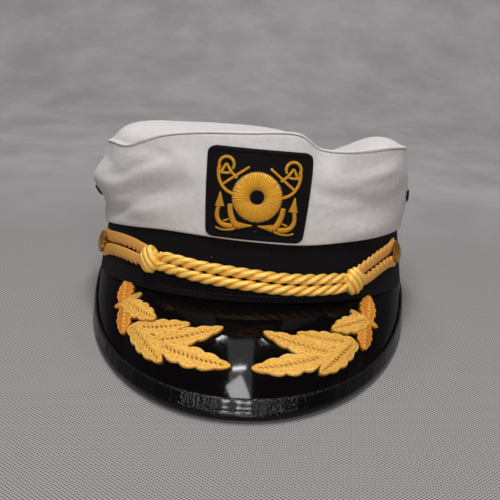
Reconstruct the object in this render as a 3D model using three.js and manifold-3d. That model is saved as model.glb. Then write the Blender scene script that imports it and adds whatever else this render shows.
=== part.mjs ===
// A peaked yachting cap: a soft white crown on a black band, with a glossy black peak,
// a gold rope strap, two embroidered oak sprays and an embroidered badge.
// The shapes are worked out in the cap's own frame: the band's lower edge lies in the plane z = 0, the
// front faces -Y and +Z goes up through the crown. A last group leans the cap back, because it rests on
// the peak's rim and on the back of the band. Sizes are in millimetres.
import * as THREE from "three";
import { mergeVertices } from "three/addons/utils/BufferGeometryUtils.js";
import Module from "manifold-3d";

const wasm = await Module();
wasm.setup();

// Driving dimensions

const gap = 0.3; // clearance between neighbouring pieces
const aroundSteps = 48; // facets round the head

const headHalfWidth = 91; // the band's lower outer edge, side to side
const headHalfLength = 100; // the same edge, front to back

const bandHeight = 34;
const bandThickness = 2;
const bandTaperSide = 4.5; // how far the band leans in at its top, at the sides
const bandTaperFront = 6.5; // the same at the front and back
const floorPress = 0.9; // how far the back of the band is flattened by the floor

const clothThickness = 1.6;
const crownHeight = 87; // the front of the top seam above the band's lower edge
const crownPuff = 7; // the depth that the folds of the wall are shares of
const crownSwell = 1.6; // how far the wall stands out half way up
const hemHeight = 1.5; // the wall's hidden lower edge inside the band
const sagOverBand = 8; // the most that the wall hangs down over the band
const welt = 0.6; // how far the top panel stands out past the wall's outer face
const seamWidth = 3.4; // the flat edge of the top panel that lies on the wall
const seamLean = 0.6; // the wall's seam stands in by this share of the band's lean
const foldFade = 1.6; // a fold fades out at this many times its reach
const topShoulder = 6; // how squarely the top panel rises from its seam

const peakThickness = 1.8;
const peakAhead = 62; // how far the rim's front stands ahead of the band
const peakInset = 0.5; // how far the rim's sides stand in from the band
const peakDrop = 40.7; // the rim's front, below the band
const peakEndAngle = 86; // the peak's ends, in degrees from the front
const peakBow = 0.034; // how far the peak's surface swells, as a share of its length there
const peakBowSlant = 0.7; // the swell goes as much outwards as upwards
const rimRoundness = 0.95; // the rim's outline from above: 1 is an ellipse
const rimFall = 0.57; // the rim's outline from the front: small is squarer
const flangeHeight = 6; // the hidden part of the peak, inside the cap

const bindingWidth = 9;
const bindingThickness = 0.8;
const bindingRoom = 0.4; // between the edging's folded leather and the peak
const beadRadius = 2.2; // the rolled edge

const badgeWidth = 53;
const badgeSpread = 0.08; // how much wider the badge is at its top, as a share
const badgeHeight = 47.5;
const badgeThickness = 1.2;
const badgeCorner = 5;
const badgeRoom = 0.55; // between the badge and the wall, which is faceted
const badgeTilt = -2.2; // in degrees, anticlockwise
const badgeOffset = 3.5; // the badge is sewn this far to the right
const badgeLevel = 56; // its middle above the band's lower edge
const stitchHeight = 0.9; // relief of the embroidery
const stitchWidth = 1.6; // the anchors' ropes
const lifeRingRadius = 12.2;
const lifeRingHole = 4.2;

const ropeDiameter = 5.9;
const ropeTwistLength = 21.5; // one full turn of a strand
const strandFurrow = 0.86; // the furrows' radius, as a share of the rope's
const knotLength = 12;
const knotHeight = 14.5;
const knotDepth = 8.5;
const runWidth = 6.4;
const runThickness = 2.2;
const runScallop = 0.3;
const runFlare = 0.28; // the share of a run that spreads towards the button
const strapRoom = 0.4; // between the strap and the band

const buttonRadius = 6.2;
const buttonDome = 3.6;
const shankRadius = 1.3;

const eyeletRadius = 3.6;
const eyeletBore = 1.7;
const eyeletBarrel = 2.4;
const eyeletFlange = 0.7;
const eyeletRoom = 1.1; // the cloth bends this much under the flat rims

const leafHeight = 1.3;
const leafWidth = 13; // the widest leaf

// Tables. Angles are in degrees from the front, positive to the right; lengths are shares of named sizes.

// The top seam's height, as a share of crownHeight.
const seamTable = [
  { angle: -180, height: 0.82 },
  { angle: -140, height: 0.83 },
  { angle: -95, height: 0.845 },
  { angle: -66, height: 0.86 },
  { angle: -53, height: 0.855 },
  { angle: -42, height: 0.905 },
  { angle: -33, height: 0.95 },
  { angle: -18, height: 0.985 },
  { angle: 0, height: 1 },
  { angle: 10, height: 1.01 },
  { angle: 16, height: 1 },
  { angle: 20, height: 0.96 },
  { angle: 24, height: 0.92 },
  { angle: 32, height: 0.905 },
  { angle: 42, height: 0.91 },
  { angle: 60, height: 0.925 },
  { angle: 95, height: 0.895 },
  { angle: 125, height: 0.82 },
  { angle: 150, height: 0.77 },
  { angle: 165, height: 0.785 },
  { angle: 180, height: 0.82 },
];

// How far the wall hangs over the band, as a share of sagOverBand.
const sagTable = [
  { angle: -180, height: 0.3 },
  { angle: -110, height: 0.7 },
  { angle: -75, height: 0.72 },
  { angle: -50, height: 0.35 },
  { angle: -30, height: 0.1 },
  { angle: 0, height: 0.35 },
  { angle: 20, height: 0.5 },
  { angle: 40, height: 0.3 },
  { angle: 75, height: 0.12 },
  { angle: 120, height: 0.3 },
  { angle: 180, height: 0.3 },
];

// Folds of the wall: middle angle and half width, middle level and half height (shares of the wall),
// and depth (share of crownPuff, positive outwards).
const foldTable = [
  { angle: -84, spread: 38, level: 0.55, reach: 0.18, depth: 0.9 },
  { angle: -62, spread: 26, level: 0.17, reach: 0.1, depth: -0.3 },
  { angle: -42, spread: 26, level: 0.5, reach: 0.13, depth: -0.36 },
  { angle: -48, spread: 24, level: 0.8, reach: 0.14, depth: 0.22 },
  { angle: -42, spread: 22, level: 0.22, reach: 0.12, depth: 0.3 },
  { angle: 50, spread: 26, level: 0.34, reach: 0.13, depth: -0.34 },
  { angle: 44, spread: 22, level: 0.1, reach: 0.1, depth: 0.3 },
  { angle: 60, spread: 22, level: 0.7, reach: 0.2, depth: 0.16 },
  { angle: 25, spread: 9, level: 1, reach: 0.2, depth: -0.45 },
  { angle: 96, spread: 30, level: 0.45, reach: 0.25, depth: 0.25 },
  { angle: 150, spread: 28, level: 0.45, reach: 0.22, depth: 0.4 },
  { angle: -145, spread: 28, level: 0.4, reach: 0.24, depth: 0.45 },
  { angle: 180, spread: 18, level: 0.5, reach: 0.3, depth: -0.12 },
];

// The top panel's height from left to right, as shares of the half width and of crownHeight.
const topTable = [
  { across: -1, height: 0.97 },
  { across: -0.9, height: 1.01 },
  { across: -0.7, height: 1 },
  { across: -0.5, height: 0.985 },
  { across: -0.15, height: 0.975 },
  { across: 0.12, height: 0.955 },
  { across: 0.28, height: 0.915 },
  { across: 0.4, height: 0.865 },
  { across: 0.52, height: 0.81 },
  { across: 0.63, height: 0.86 },
  { across: 0.78, height: 0.955 },
  { across: 0.9, height: 0.985 },
  { across: 1, height: 0.95 },
];

// The strap's middle line over the band, as shares of bandHeight.
const strapTable = [
  { angle: -80, height: 0.44 },
  { angle: -70, height: 0.5 },
  { angle: -60, height: 0.56 },
  { angle: -50, height: 0.57 },
  { angle: -41, height: 0.53 },
  { angle: -34, height: 0.5 },
  { angle: -25, height: 0.47 },
  { angle: -16, height: 0.42 },
  { angle: -7, height: 0.385 },
  { angle: 2, height: 0.35 },
  { angle: 10, height: 0.315 },
  { angle: 19, height: 0.295 },
  { angle: 28, height: 0.295 },
  { angle: 37, height: 0.32 },
  { angle: 45, height: 0.42 },
  { angle: 55, height: 0.56 },
  { angle: 65, height: 0.63 },
  { angle: 75, height: 0.64 },
];
const knotAngles = { left: -34.5, right: 37.5 };
const buttonAngles = { left: -69, right: 65.5 };

const eyelets = {
  left: { angle: -84, level: 0.4 },
  right: { angle: 80, level: 0.42 },
};

// Leaves of the left spray on the peak: stem end and tip as an angle and a share of the way from band to
// rim, the widest part as a share of leafWidth, and the outline.
const leafTable = [
  { from: [-45, 0.26], to: [-47.6, 0.09], width: 0.74, outline: "oak" },
  { from: [-43.5, 0.24], to: [-40, 0.11], width: 0.38, outline: "bud" },
  { from: [-44.5, 0.26], to: [-29, 0.3], width: 0.8, outline: "oak" },
  { from: [-45, 0.27], to: [-51.5, 0.42], width: 0.36, outline: "bud" },
  { from: [-44, 0.27], to: [-42.6, 0.6], width: 0.82, outline: "oak" },
  { from: [-38, 0.44], to: [-16.9, 0.29], width: 0.9, outline: "oak" },
  { from: [-38.5, 0.48], to: [-24.6, 0.7], width: 0.85, outline: "oak" },
  { from: [-27, 0.52], to: [-6.3, 0.29], width: 0.93, outline: "oak" },
  { from: [-27, 0.54], to: [-3.2, 0.61], width: 1, outline: "oak" },
  { from: [-45, 0.25], to: [-37, 0.5], width: 0.14, outline: "stem" },
  { from: [-38, 0.48], to: [-25, 0.54], width: 0.14, outline: "stem" },
];
const leafOutlines = {
  oak: [0.3, 0.8, 0.65, 1, 0.75, 0.9, 0.15],
  bud: [0.45, 0.95, 0.85, 0.2],
  stem: [0.8, 1, 0.8],
};
// The right spray is sewn lower on the peak than the mirror image of the left one.
const rightSprayShift = { angle: -0.2, down: 0.03 };

// The left anchor's stitched lines, measured from the badge's middle as shares of badgeWidth, with
// the widths at both ends as shares of stitchWidth. Its ring is an arc.
const anchorTable = [
  {
    part: "cable",
    widths: [1.05, 1.05],
    points: [[0.366, 0.275], [0.362, 0.198], [0.343, 0.128], [0.294, 0.068], [0.215, 0.026]],
  },
  { part: "shackle", widths: [1, 1], points: [[0.358, 0.2], [0.3, 0.317], [0.219, 0.211]] },
  { part: "cross bar", widths: [0.9, 0.9], points: [[0.351, 0.219], [0.249, 0.223]] },
  { part: "stock", widths: [0.95, 0.95], points: [[0.345, 0.117], [0.102, 0.294]] },
  { part: "shank", widths: [1.6, 1.9], points: [[0.211, -0.102], [0.215, -0.181], [0.158, -0.275]] },
  {
    part: "arm",
    widths: [1.25, 1.9],
    points: [[0.343, -0.091], [0.355, -0.185], [0.332, -0.253], [0.257, -0.279], [0.162, -0.272]],
  },
  { part: "fluke", widths: [3.1, 0.25], points: [[0.343, -0.102], [0.345, 0.011]] },
  { part: "inner fluke", widths: [2.5, 0.25], points: [[0.162, -0.257], [0.03, -0.275]] },
  {
    part: "keel",
    widths: [0.6, 0.9],
    points: [[0.362, -0.317], [0.275, -0.332], [0.189, -0.313], [0.14, -0.275]],
  },
];
const anchorRing = { x: 0.3, y: 0.313, radius: 0.074, start: -60, end: 250, steps: 9 };

const degrees = Math.PI / 180;

// Numbers

const lerp = (a, b, t) => a + (b - a) * t;
const clamp = (t) => Math.min(1, Math.max(0, t));
const bell = (t) => (Math.abs(t) < 1 ? 0.5 + 0.5 * Math.cos(Math.PI * t) : 0);
const turned = (angle) => ((((angle + 180) % 360) + 360) % 360) - 180;

// A smooth value between the rows of a table.
function sample(table, key, column, at) {
  const last = table.length - 1;
  if (at <= table[0][key]) return table[0][column];
  if (at >= table[last][key]) return table[last][column];
  const i = table.findIndex((row) => row[key] > at) - 1;
  const slope = (k) => {
    const a = table[Math.max(k - 1, 0)];
    const b = table[Math.min(k + 1, last)];
    return (b[column] - a[column]) / (b[key] - a[key]);
  };
  const a = table[i];
  const b = table[i + 1];
  const width = b[key] - a[key];
  const t = (at - a[key]) / width;
  const t2 = t * t;
  const t3 = t2 * t;
  return (
    (2 * t3 - 3 * t2 + 1) * a[column] +
    (t3 - 2 * t2 + t) * width * slope(i) +
    (3 * t2 - 2 * t3) * b[column] +
    (t3 - t2) * width * slope(i + 1)
  );
}

// Places on the cap

// A point at an angle from the front, out from the band's lower outer edge, and up.
function place(angle, out, up) {
  const s = Math.sin(angle * degrees);
  const c = Math.cos(angle * degrees);
  const length = Math.hypot(headHalfLength * s, headHalfWidth * c);
  return new THREE.Vector3(
    headHalfWidth * s + (out * headHalfLength * s) / length,
    -headHalfLength * c - (out * headHalfWidth * c) / length,
    up,
  );
}

function outwards(angle) {
  return place(angle, 1, 0).sub(place(angle, 0, 0)).normalize();
}

function alongBand(angle) {
  return outwards(angle).cross(new THREE.Vector3(0, 0, -1));
}

function bandFace(angle, up) {
  const front = Math.cos(angle * degrees) ** 2;
  return -lerp(bandTaperSide, bandTaperFront, front) * (up / bandHeight);
}

// The middle of the wall's cloth, from the edge that hangs over the band (level 0) to the seam (level 1).
function wallSpan(angle) {
  const low = bandHeight - gap - sagOverBand * sample(sagTable, "angle", "height", turned(angle));
  const high = crownHeight * sample(seamTable, "angle", "height", turned(angle));
  return { low, high };
}

function wallMiddle(angle, level) {
  const { low, high } = wallSpan(angle);
  const clearOfBand = bandFace(angle, low) + gap + clothThickness / 2 + gap;
  const seamIn = bandFace(angle, bandHeight) * seamLean;
  let out = lerp(clearOfBand, seamIn, level) + crownSwell * Math.sin(Math.PI * clamp(level));
  for (const fold of foldTable) {
    const side = bell(turned(angle - fold.angle) / fold.spread);
    out += crownPuff * fold.depth * side * bell((level - fold.level) / fold.reach / foldFade);
  }
  return { out, up: lerp(low, high, level) };
}

function wallLevel(angle, up) {
  const { low, high } = wallSpan(angle);
  return (up - low) / (high - low);
}

// A point on the badge's plane, bent over the front of the wall. across and up are from its middle.
function badgePoint(across, up, lift) {
  const c = Math.cos(badgeTilt * degrees);
  const s = Math.sin(badgeTilt * degrees);
  const angle = (badgeOffset + across * c - up * s) / headHalfWidth / degrees;
  const height = badgeLevel + across * s + up * c;
  const { out } = wallMiddle(angle, wallLevel(angle, height));
  return place(angle, out + clothThickness / 2 + badgeRoom + lift, height);
}

// Solids

// A closed mesh through equal rings of points; the ends are closed by fans unless it runs in a loop.
function loft(rings, loop = false) {
  const sides = rings[0].length;
  const points = rings.flat();
  const faces = [];
  const at = (i, j) => (i % rings.length) * sides + (j % sides);
  const spans = loop ? rings.length : rings.length - 1;
  for (let i = 0; i < spans; i++) {
    for (let j = 0; j < sides; j++) {
      faces.push([at(i, j), at(i, j + 1), at(i + 1, j + 1)]);
      faces.push([at(i, j), at(i + 1, j + 1), at(i + 1, j)]);
    }
  }
  if (!loop) {
    const ends = [
      { ring: 0, flip: true },
      { ring: rings.length - 1, flip: false },
    ];
    for (const end of ends) {
      points.push(centreOf(rings[end.ring]));
      const middle = points.length - 1;
      for (let j = 0; j < sides; j++) {
        const a = at(end.ring, j);
        const b = at(end.ring, j + 1);
        faces.push(end.flip ? [middle, b, a] : [middle, a, b]);
      }
    }
  }
  return meshOf(points, faces);
}

function centreOf(ring) {
  const sum = new THREE.Vector3();
  ring.forEach((p) => sum.add(p));
  return sum.divideScalar(ring.length);
}

// Faces that collapsed to a line are left out, and the mesh is turned to face outwards.
function meshOf(points, faces) {
  const loose = new THREE.BufferGeometry().setFromPoints(points);
  loose.setIndex(faces.flat());
  const merged = mergeVertices(loose, 1e-3);
  const index = merged.index.array;
  const kept = [];
  for (let i = 0; i < index.length; i += 3) {
    const [a, b, c] = [index[i], index[i + 1], index[i + 2]];
    if (a !== b && b !== c && a !== c) kept.push(a, b, c);
  }
  merged.setIndex(kept);
  if (volumeOf(merged) < 0) merged.setIndex(kept.reverse());
  return merged;
}

function volumeOf(geometry) {
  const p = geometry.getAttribute("position");
  const index = geometry.index.array;
  const corner = (i) => new THREE.Vector3().fromBufferAttribute(p, index[i]);
  let six = 0;
  for (let i = 0; i < index.length; i += 3) {
    six += corner(i).dot(corner(i + 1).cross(corner(i + 2)));
  }
  return six / 6;
}

function toSolid(geometry) {
  const bare = new THREE.BufferGeometry();
  bare.setAttribute("position", geometry.getAttribute("position"));
  bare.setIndex(geometry.index);
  const merged = mergeVertices(bare, 1e-3);
  return new wasm.Manifold(
    new wasm.Mesh({
      numProp: 3,
      vertProperties: merged.getAttribute("position").array,
      triVerts: new Uint32Array(merged.index.array),
    }),
  );
}

function fromSolid(solid) {
  const mesh = solid.getMesh();
  const geometry = new THREE.BufferGeometry();
  geometry.setAttribute("position", new THREE.BufferAttribute(mesh.vertProperties, 3));
  geometry.setIndex(new THREE.BufferAttribute(mesh.triVerts, 1));
  return geometry;
}

function fused(geometries) {
  return fromSolid(geometries.map(toSolid).reduce((all, next) => all.add(next)));
}

const range = (count) => Array.from({ length: count }, (_, i) => i);
const anglesAround = range(aroundSteps).map((i) => -180 + (360 * i) / aroundSteps);

// Crown

// A point on one face of the wall's cloth, lift away from its middle. The seam's edge is cut level.
function wallFace(angle, level, lift) {
  const step = level < 1 ? 0.04 : 0;
  const middle = wallMiddle(angle, level);
  const low = wallMiddle(angle, level - step);
  const high = wallMiddle(angle, level + step);
  const alongOut = high.out - low.out;
  const alongUp = high.up - low.up;
  const length = Math.hypot(alongOut, alongUp);
  if (length === 0) return place(angle, middle.out + lift, middle.up);
  return place(
    angle,
    middle.out + (lift * alongUp) / length,
    middle.up - (lift * alongOut) / length,
  );
}

// The wall hangs over the band's upper edge, and its hem runs down inside the band.
function wallSection(angle) {
  const half = clothThickness / 2;
  const overBand = bandHeight + gap;
  const ledge = overBand + clothThickness;
  const first = wallLevel(angle, ledge);
  const shares = [0, 0.13, 0.28, 0.44, 0.6, 0.8, 1];
  const levels = shares.map((share) => lerp(first, 1, share));
  const outer = [0, ...levels].map((level) => wallFace(angle, level, half));
  const inner = levels.map((level) => wallFace(angle, level, -half));
  const { low } = wallSpan(angle);
  const inBand = -bandThickness - gap;
  const inHem = inBand - clothThickness;
  return [
    ...outer,
    ...inner.reverse(),
    place(angle, bandFace(angle, bandHeight) + inHem, ledge),
    place(angle, bandFace(angle, hemHeight) + inHem, hemHeight),
    place(angle, bandFace(angle, hemHeight) + inBand, hemHeight),
    place(angle, bandFace(angle, bandHeight) + inBand, overBand),
    place(angle, bandFace(angle, bandHeight) + gap, overBand),
    place(angle, bandFace(angle, low) + gap, low),
  ];
}

function crownWall() {
  const shell = toSolid(loft(anglesAround.map(wallSection), true));
  const holes = Object.values(eyelets).map((eyelet) => {
    const hole = new THREE.CylinderGeometry(eyeletBarrel + gap, eyeletBarrel + gap, 12, 12);
    hole.deleteAttribute("normal");
    hole.deleteAttribute("uv");
    hole.applyMatrix4(eyeletPlace(eyelet));
    return toSolid(hole);
  });
  return fromSolid(holes.reduce((cloth, hole) => cloth.subtract(hole), shell));
}

function crownTop() {
  const halfWidth = headHalfWidth - bandTaperSide;
  const seamShare = 1 - seamWidth / halfWidth;
  const rings = [1, ...[1, 0.95, 0.82, 0.62, 0.34, 0].map((share) => share * seamShare)];
  return loft(
    anglesAround.map((angle) => {
      const seam = wallMiddle(angle, 1);
      const reach = seam.out + clothThickness / 2 + welt;
      const rim = place(angle, reach, seam.up + gap + clothThickness / 2);
      const upper = [];
      const under = [];
      for (const share of rings) {
        const x = rim.x * share;
        const y = rim.y * share;
        const middle = crownHeight * sample(topTable, "across", "height", x / halfWidth);
        const shoulder = Math.sqrt(1 - Math.min(1, share / seamShare) ** topShoulder);
        const z = lerp(rim.z, middle + gap, shoulder);
        upper.push(new THREE.Vector3(x, y, z + clothThickness / 2));
        under.push(new THREE.Vector3(x, y, z - clothThickness / 2));
      }
      return [...upper, ...under.reverse()];
    }),
    true,
  );
}

// Band

// The band's lower edge, and its back is pressed flat by the floor that the leaning cap stands on.
function band(lean) {
  const aboveFloor = (point) =>
    point.z - floorPress + (headHalfLength - point.y) * Math.tan(lean);
  const standing = (angle, depth) => {
    const low = place(angle, -depth, 0);
    const high = place(angle, bandFace(angle, bandHeight) - depth, bandHeight);
    const sunk = -aboveFloor(low);
    return low.lerp(high, Math.max(0, sunk / (aboveFloor(high) + sunk)));
  };
  return loft(
    anglesAround.map((angle) => [
      standing(angle, 0),
      place(angle, bandFace(angle, bandHeight), bandHeight),
      place(angle, bandFace(angle, bandHeight) - bandThickness, bandHeight),
      standing(angle, bandThickness),
    ]),
    true,
  );
}

// Peak

function peakShelf(angle) {
  return place(angle, -bandThickness / 2, -gap);
}

function peakRim(angle) {
  const s = Math.sin(angle * degrees);
  const c = Math.max(0, Math.cos(angle * degrees));
  return new THREE.Vector3(
    (headHalfWidth - peakInset) * Math.sign(s) * Math.abs(s) ** rimRoundness,
    -(headHalfLength + peakAhead) * c,
    -gap - (peakDrop - gap) * c ** rimFall,
  );
}

// A point on the peak's upper face: down is 0 at the band and 1 at the rim.
function peakFace(angle, down) {
  const point = peakShelf(angle).lerp(peakRim(angle), down);
  const swell = peakBow * peakBowSlant * peakLength(angle) * 4 * down * (1 - down);
  return point.addScaledVector(outwards(angle), swell).setZ(point.z + swell);
}

function peakNormal(angle, down) {
  const step = 0.5;
  const share = 0.02;
  const across = peakFace(angle + step, down).sub(peakFace(angle - step, down));
  const along = peakFace(angle, down + share).sub(peakFace(angle, down - share));
  return along.cross(across).normalize();
}

const peakLength = (angle) => peakShelf(angle).distanceTo(peakRim(angle));
const peakSteps = 30;
const peakAngles = range(peakSteps + 1).map((i) =>
  lerp(-peakEndAngle, peakEndAngle, i / peakSteps),
);

function peak() {
  const outerFlange = -bandThickness - gap - clothThickness - gap;
  return loft(
    peakAngles.map((angle) => {
      const flange = outerFlange + bandFace(angle, flangeHeight);
      const edge = 1 - (beadRadius / 2 + gap) / peakLength(angle);
      const downs = [0, 0.25, 0.5, 0.75, 1].map((share) => share * edge);
      const upper = downs.map((down) => peakFace(angle, down));
      const under = downs.map((down) =>
        peakFace(angle, down).addScaledVector(peakNormal(angle, down), -peakThickness),
      );
      under[0] = place(angle, -bandThickness, -gap - peakThickness);
      return [
        place(angle, flange, flangeHeight),
        place(angle, flange, -gap),
        ...upper,
        ...under.reverse(),
        place(angle, flange - peakThickness, -gap - peakThickness),
        place(angle, flange - peakThickness, flangeHeight),
      ];
    }),
  );
}

// The rolled edging: its section wraps the peak's edge. back is towards the band, lift off the face.
function binding() {
  const under = -peakThickness - bindingRoom;
  const over = bindingRoom + bindingThickness;
  return loft(
    peakAngles.map((angle) => {
      const width = Math.min(bindingWidth, peakLength(angle) - 3 * gap - bindingThickness);
      const rim = peakFace(angle, 1);
      const normal = peakNormal(angle, 1 - 1e-3);
      const back = peakFace(angle, 0.9).sub(rim);
      back.addScaledVector(normal, -back.dot(normal)).normalize();
      const middle = -peakThickness / 2;
      const at = (from, lift) => {
        const share = from / peakLength(angle);
        const base = share > 0 ? peakFace(angle, 1 - share) : rim.clone();
        if (share <= 0) base.addScaledVector(back, from);
        const up = share > 0 ? peakNormal(angle, 1 - share) : normal;
        return base.addScaledVector(up, lift);
      };
      return [
        at(width, bindingRoom),
        at(width, over),
        at(width / 2, over),
        at(beadRadius / 2, middle + beadRadius),
        at(-beadRadius * 0.6, middle + beadRadius * 0.75),
        at(-beadRadius, middle),
        at(-beadRadius * 0.6, middle - beadRadius * 0.75),
        at(beadRadius / 2, middle - beadRadius),
        at(width, under - bindingThickness),
        at(width, under),
        at(beadRadius / 2, under),
        at(beadRadius / 2, bindingRoom),
        at(width / 2, bindingRoom),
      ];
    }),
  );
}

// Oak sprays

// One leaf laid on the peak's face: a flat-topped ridge with a scalloped edge.
function leaf({ from, to, width, outline }, lift) {
  const shape = leafOutlines[outline];
  const middle = [(from[0] + to[0]) / 2, (from[1] + to[1]) / 2];
  const turn = [to[0] - from[0], to[1] - from[1]];
  const step = 0.01;
  const perAngle = peakFace(middle[0] + step, middle[1]).sub(peakFace(...middle)).divideScalar(step);
  const perDown = peakFace(middle[0], middle[1] + step).sub(peakFace(...middle)).divideScalar(step);
  const axis = perAngle.clone().multiplyScalar(turn[0]).addScaledVector(perDown, turn[1]);
  const side = peakNormal(...middle).cross(axis).normalize();
  // side, written as a step in angle and a step down
  const aa = perAngle.dot(perAngle);
  const ab = perAngle.dot(perDown);
  const bb = perDown.dot(perDown);
  const sa = side.dot(perAngle);
  const sb = side.dot(perDown);
  const det = aa * bb - ab * ab;
  const sideAngle = (sa * bb - sb * ab) / det;
  const sideDown = (sb * aa - sa * ab) / det;
  return loft(
    shape.map((share, i) => {
      const t = i / (shape.length - 1);
      const half = ((leafWidth * width) / 2) * share;
      const at = (across, up) => {
        const angle = lerp(from[0], to[0], t) + sideAngle * across;
        const down = lerp(from[1], to[1], t) + sideDown * across;
        return peakFace(angle, down).addScaledVector(peakNormal(angle, down), gap + up);
      };
      const crest = leafHeight * (0.7 + 0.3 * Math.sin(Math.PI * t)) + lift;
      return [at(-half, 0), at(-half * 0.6, crest), at(half * 0.6, crest), at(half, 0)];
    }),
  );
}

function spray(side) {
  return fused(
    leafTable.map((row, i) => {
      const put = ([angle, down]) =>
        side < 0
          ? [angle, down]
          : [-angle - rightSprayShift.angle, down + rightSprayShift.down];
      return leaf({ ...row, from: put(row.from), to: put(row.to) }, 0.04 * i);
    }),
  );
}

// Badge

function roundedRing(halfWidth, halfHeight, corner) {
  const points = [];
  const corners = [
    { x: 1, y: 1, start: 0 },
    { x: -1, y: 1, start: 90 },
    { x: -1, y: -1, start: 180 },
    { x: 1, y: -1, start: 270 },
  ];
  for (const { x, y, start } of corners) {
    for (const turn of [0, 45, 90]) {
      const angle = (start + turn) * degrees;
      points.push({
        x: x * (halfWidth - corner) + corner * Math.cos(angle),
        y: y * (halfHeight - corner) + corner * Math.sin(angle),
      });
    }
    const next = corners[(corners.findIndex((k) => k.start === start) + 1) % 4];
    const steps = x === next.x ? 3 : 4;
    const end = points[points.length - 1];
    const turn = next.start * degrees;
    const goal = {
      x: next.x * (halfWidth - corner) + corner * Math.cos(turn),
      y: next.y * (halfHeight - corner) + corner * Math.sin(turn),
    };
    for (let i = 1; i < steps; i++) {
      points.push({ x: lerp(end.x, goal.x, i / steps), y: lerp(end.y, goal.y, i / steps) });
    }
  }
  return points;
}

function badgePatch() {
  const outline = roundedRing(badgeWidth / 2, badgeHeight / 2, badgeCorner);
  return loft(
    outline.map(({ x: across, y }) => {
      const x = across * (1 + badgeSpread * (y / badgeHeight + 0.5));
      const shares = [0, 0.33, 0.66, 0.97];
      return [
        ...shares.map((s) => badgePoint(x * s, y * s, badgeThickness)),
        badgePoint(x, y, badgeThickness * 0.7),
        ...[...shares, 1].reverse().map((s) => badgePoint(x * s, y * s, 0)),
      ];
    }),
    true,
  );
}

// A raised line of stitches through points on the badge, with a width at each of its ends.
function stitchedLine(points, startWidth, endWidth, closed = false) {
  const lift = badgeThickness + gap;
  const count = points.length;
  const rings = points.map(([x, y], i) => {
    const before = closed ? points[(i + count - 1) % count] : points[Math.max(i - 1, 0)];
    const after = closed ? points[(i + 1) % count] : points[Math.min(i + 1, count - 1)];
    const along = [after[0] - before[0], after[1] - before[1]];
    const length = Math.hypot(...along);
    const half = lerp(startWidth, endWidth, i / (count - 1)) / 2;
    const nx = (-along[1] / length) * half;
    const ny = (along[0] / length) * half;
    return [
      badgePoint(x - nx, y - ny, lift),
      badgePoint(x + nx, y + ny, lift),
      badgePoint(x, y, lift + stitchHeight),
    ];
  });
  return loft(rings, closed);
}

function arc(x, y, radius, start, end, steps) {
  return range(steps + 1).map((i) => {
    const angle = lerp(start, end, i / steps) * degrees;
    return [x + radius * Math.cos(angle), y + radius * Math.sin(angle)];
  });
}

function lifeRing() {
  const lift = badgeThickness + gap;
  const middle = (lifeRingRadius + lifeRingHole) / 2;
  const profile = [
    { r: lifeRingHole, h: 0 },
    { r: lifeRingRadius, h: 0 },
    { r: lerp(middle, lifeRingRadius, 0.6), h: 1.5 },
    { r: middle, h: 1.9 },
    { r: lerp(middle, lifeRingHole, 0.6), h: 1.5 },
  ];
  const steps = 24;
  return loft(
    range(steps).map((i) => {
      const angle = ((360 * i) / steps) * degrees;
      return profile.map(({ r, h }) =>
        badgePoint(r * Math.cos(angle), r * Math.sin(angle), lift + h * stitchHeight),
      );
    }),
    true,
  );
}

// The right anchor is the left one's mirror image.
function anchorLines(side) {
  const onBadge = ([x, y]) => [x * badgeWidth * side, y * badgeWidth];
  const { x, y, radius, start, end, steps } = anchorRing;
  const ring = arc(x, y, radius, start, end, steps).map(onBadge);
  const lines = anchorTable.map(({ widths, points }) => {
    return stitchedLine(points.map(onBadge), widths[0] * stitchWidth, widths[1] * stitchWidth);
  });
  return [stitchedLine(ring, stitchWidth, stitchWidth), ...lines];
}

// Strap

function strapPoint(angle, rise, lift) {
  const up = bandHeight * sample(strapTable, "angle", "height", angle) + rise;
  return place(angle, bandFace(angle, up) + strapRoom + lift, up);
}

const ropePitch = ropeDiameter + gap / 3;
const knotTurn = (knotLength / 2 + gap) / headHalfWidth / degrees;

// Two stretches of three-strand rope lie one above the other between the knots.
function rope(side) {
  const steps = 28;
  const start = knotAngles.left + knotTurn;
  const end = knotAngles.right - knotTurn;
  const radius = ropeDiameter / 2;
  let travelled = 0;
  let last = null;
  return loft(
    range(steps + 1).map((i) => {
      const angle = lerp(start, end, i / steps);
      const rise = (side * ropePitch) / 2;
      const centre = strapPoint(angle, rise, radius);
      if (last) travelled += last.distanceTo(centre);
      last = centre;
      const out = outwards(angle);
      const twist = (360 * travelled) / ropeTwistLength;
      return range(9).map((k) => {
        const lobe = k % 3 === 0 ? strandFurrow : 1;
        const turn = (40 * k + twist) * degrees;
        const ring = centre.clone().addScaledVector(out, radius * lobe * Math.cos(turn));
        return ring.setZ(ring.z + radius * lobe * Math.sin(turn));
      });
    }),
  );
}

function knot(angle) {
  const sections = [0.12, 0.55, 0.85, 1, 0.85, 0.55, 0.12];
  const last = sections.length - 1;
  const centre = strapPoint(angle, 0, knotDepth / 2);
  const along = alongBand(angle);
  const out = outwards(angle);
  return loft(
    sections.map((share, i) => {
      const from = lerp(-knotLength / 2, knotLength / 2, i / last);
      return range(12).map((k) => {
        const lobe = k % 3 === 0 ? 0.9 : 1;
        const turn = (30 * k + 18 * i) * degrees;
        return centre
          .clone()
          .addScaledVector(along, from)
          .addScaledVector(out, (knotDepth / 2) * share * lobe * Math.cos(turn))
          .add(new THREE.Vector3(0, 0, (knotHeight / 2) * share * lobe * Math.sin(turn)));
      });
    }),
  );
}

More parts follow.
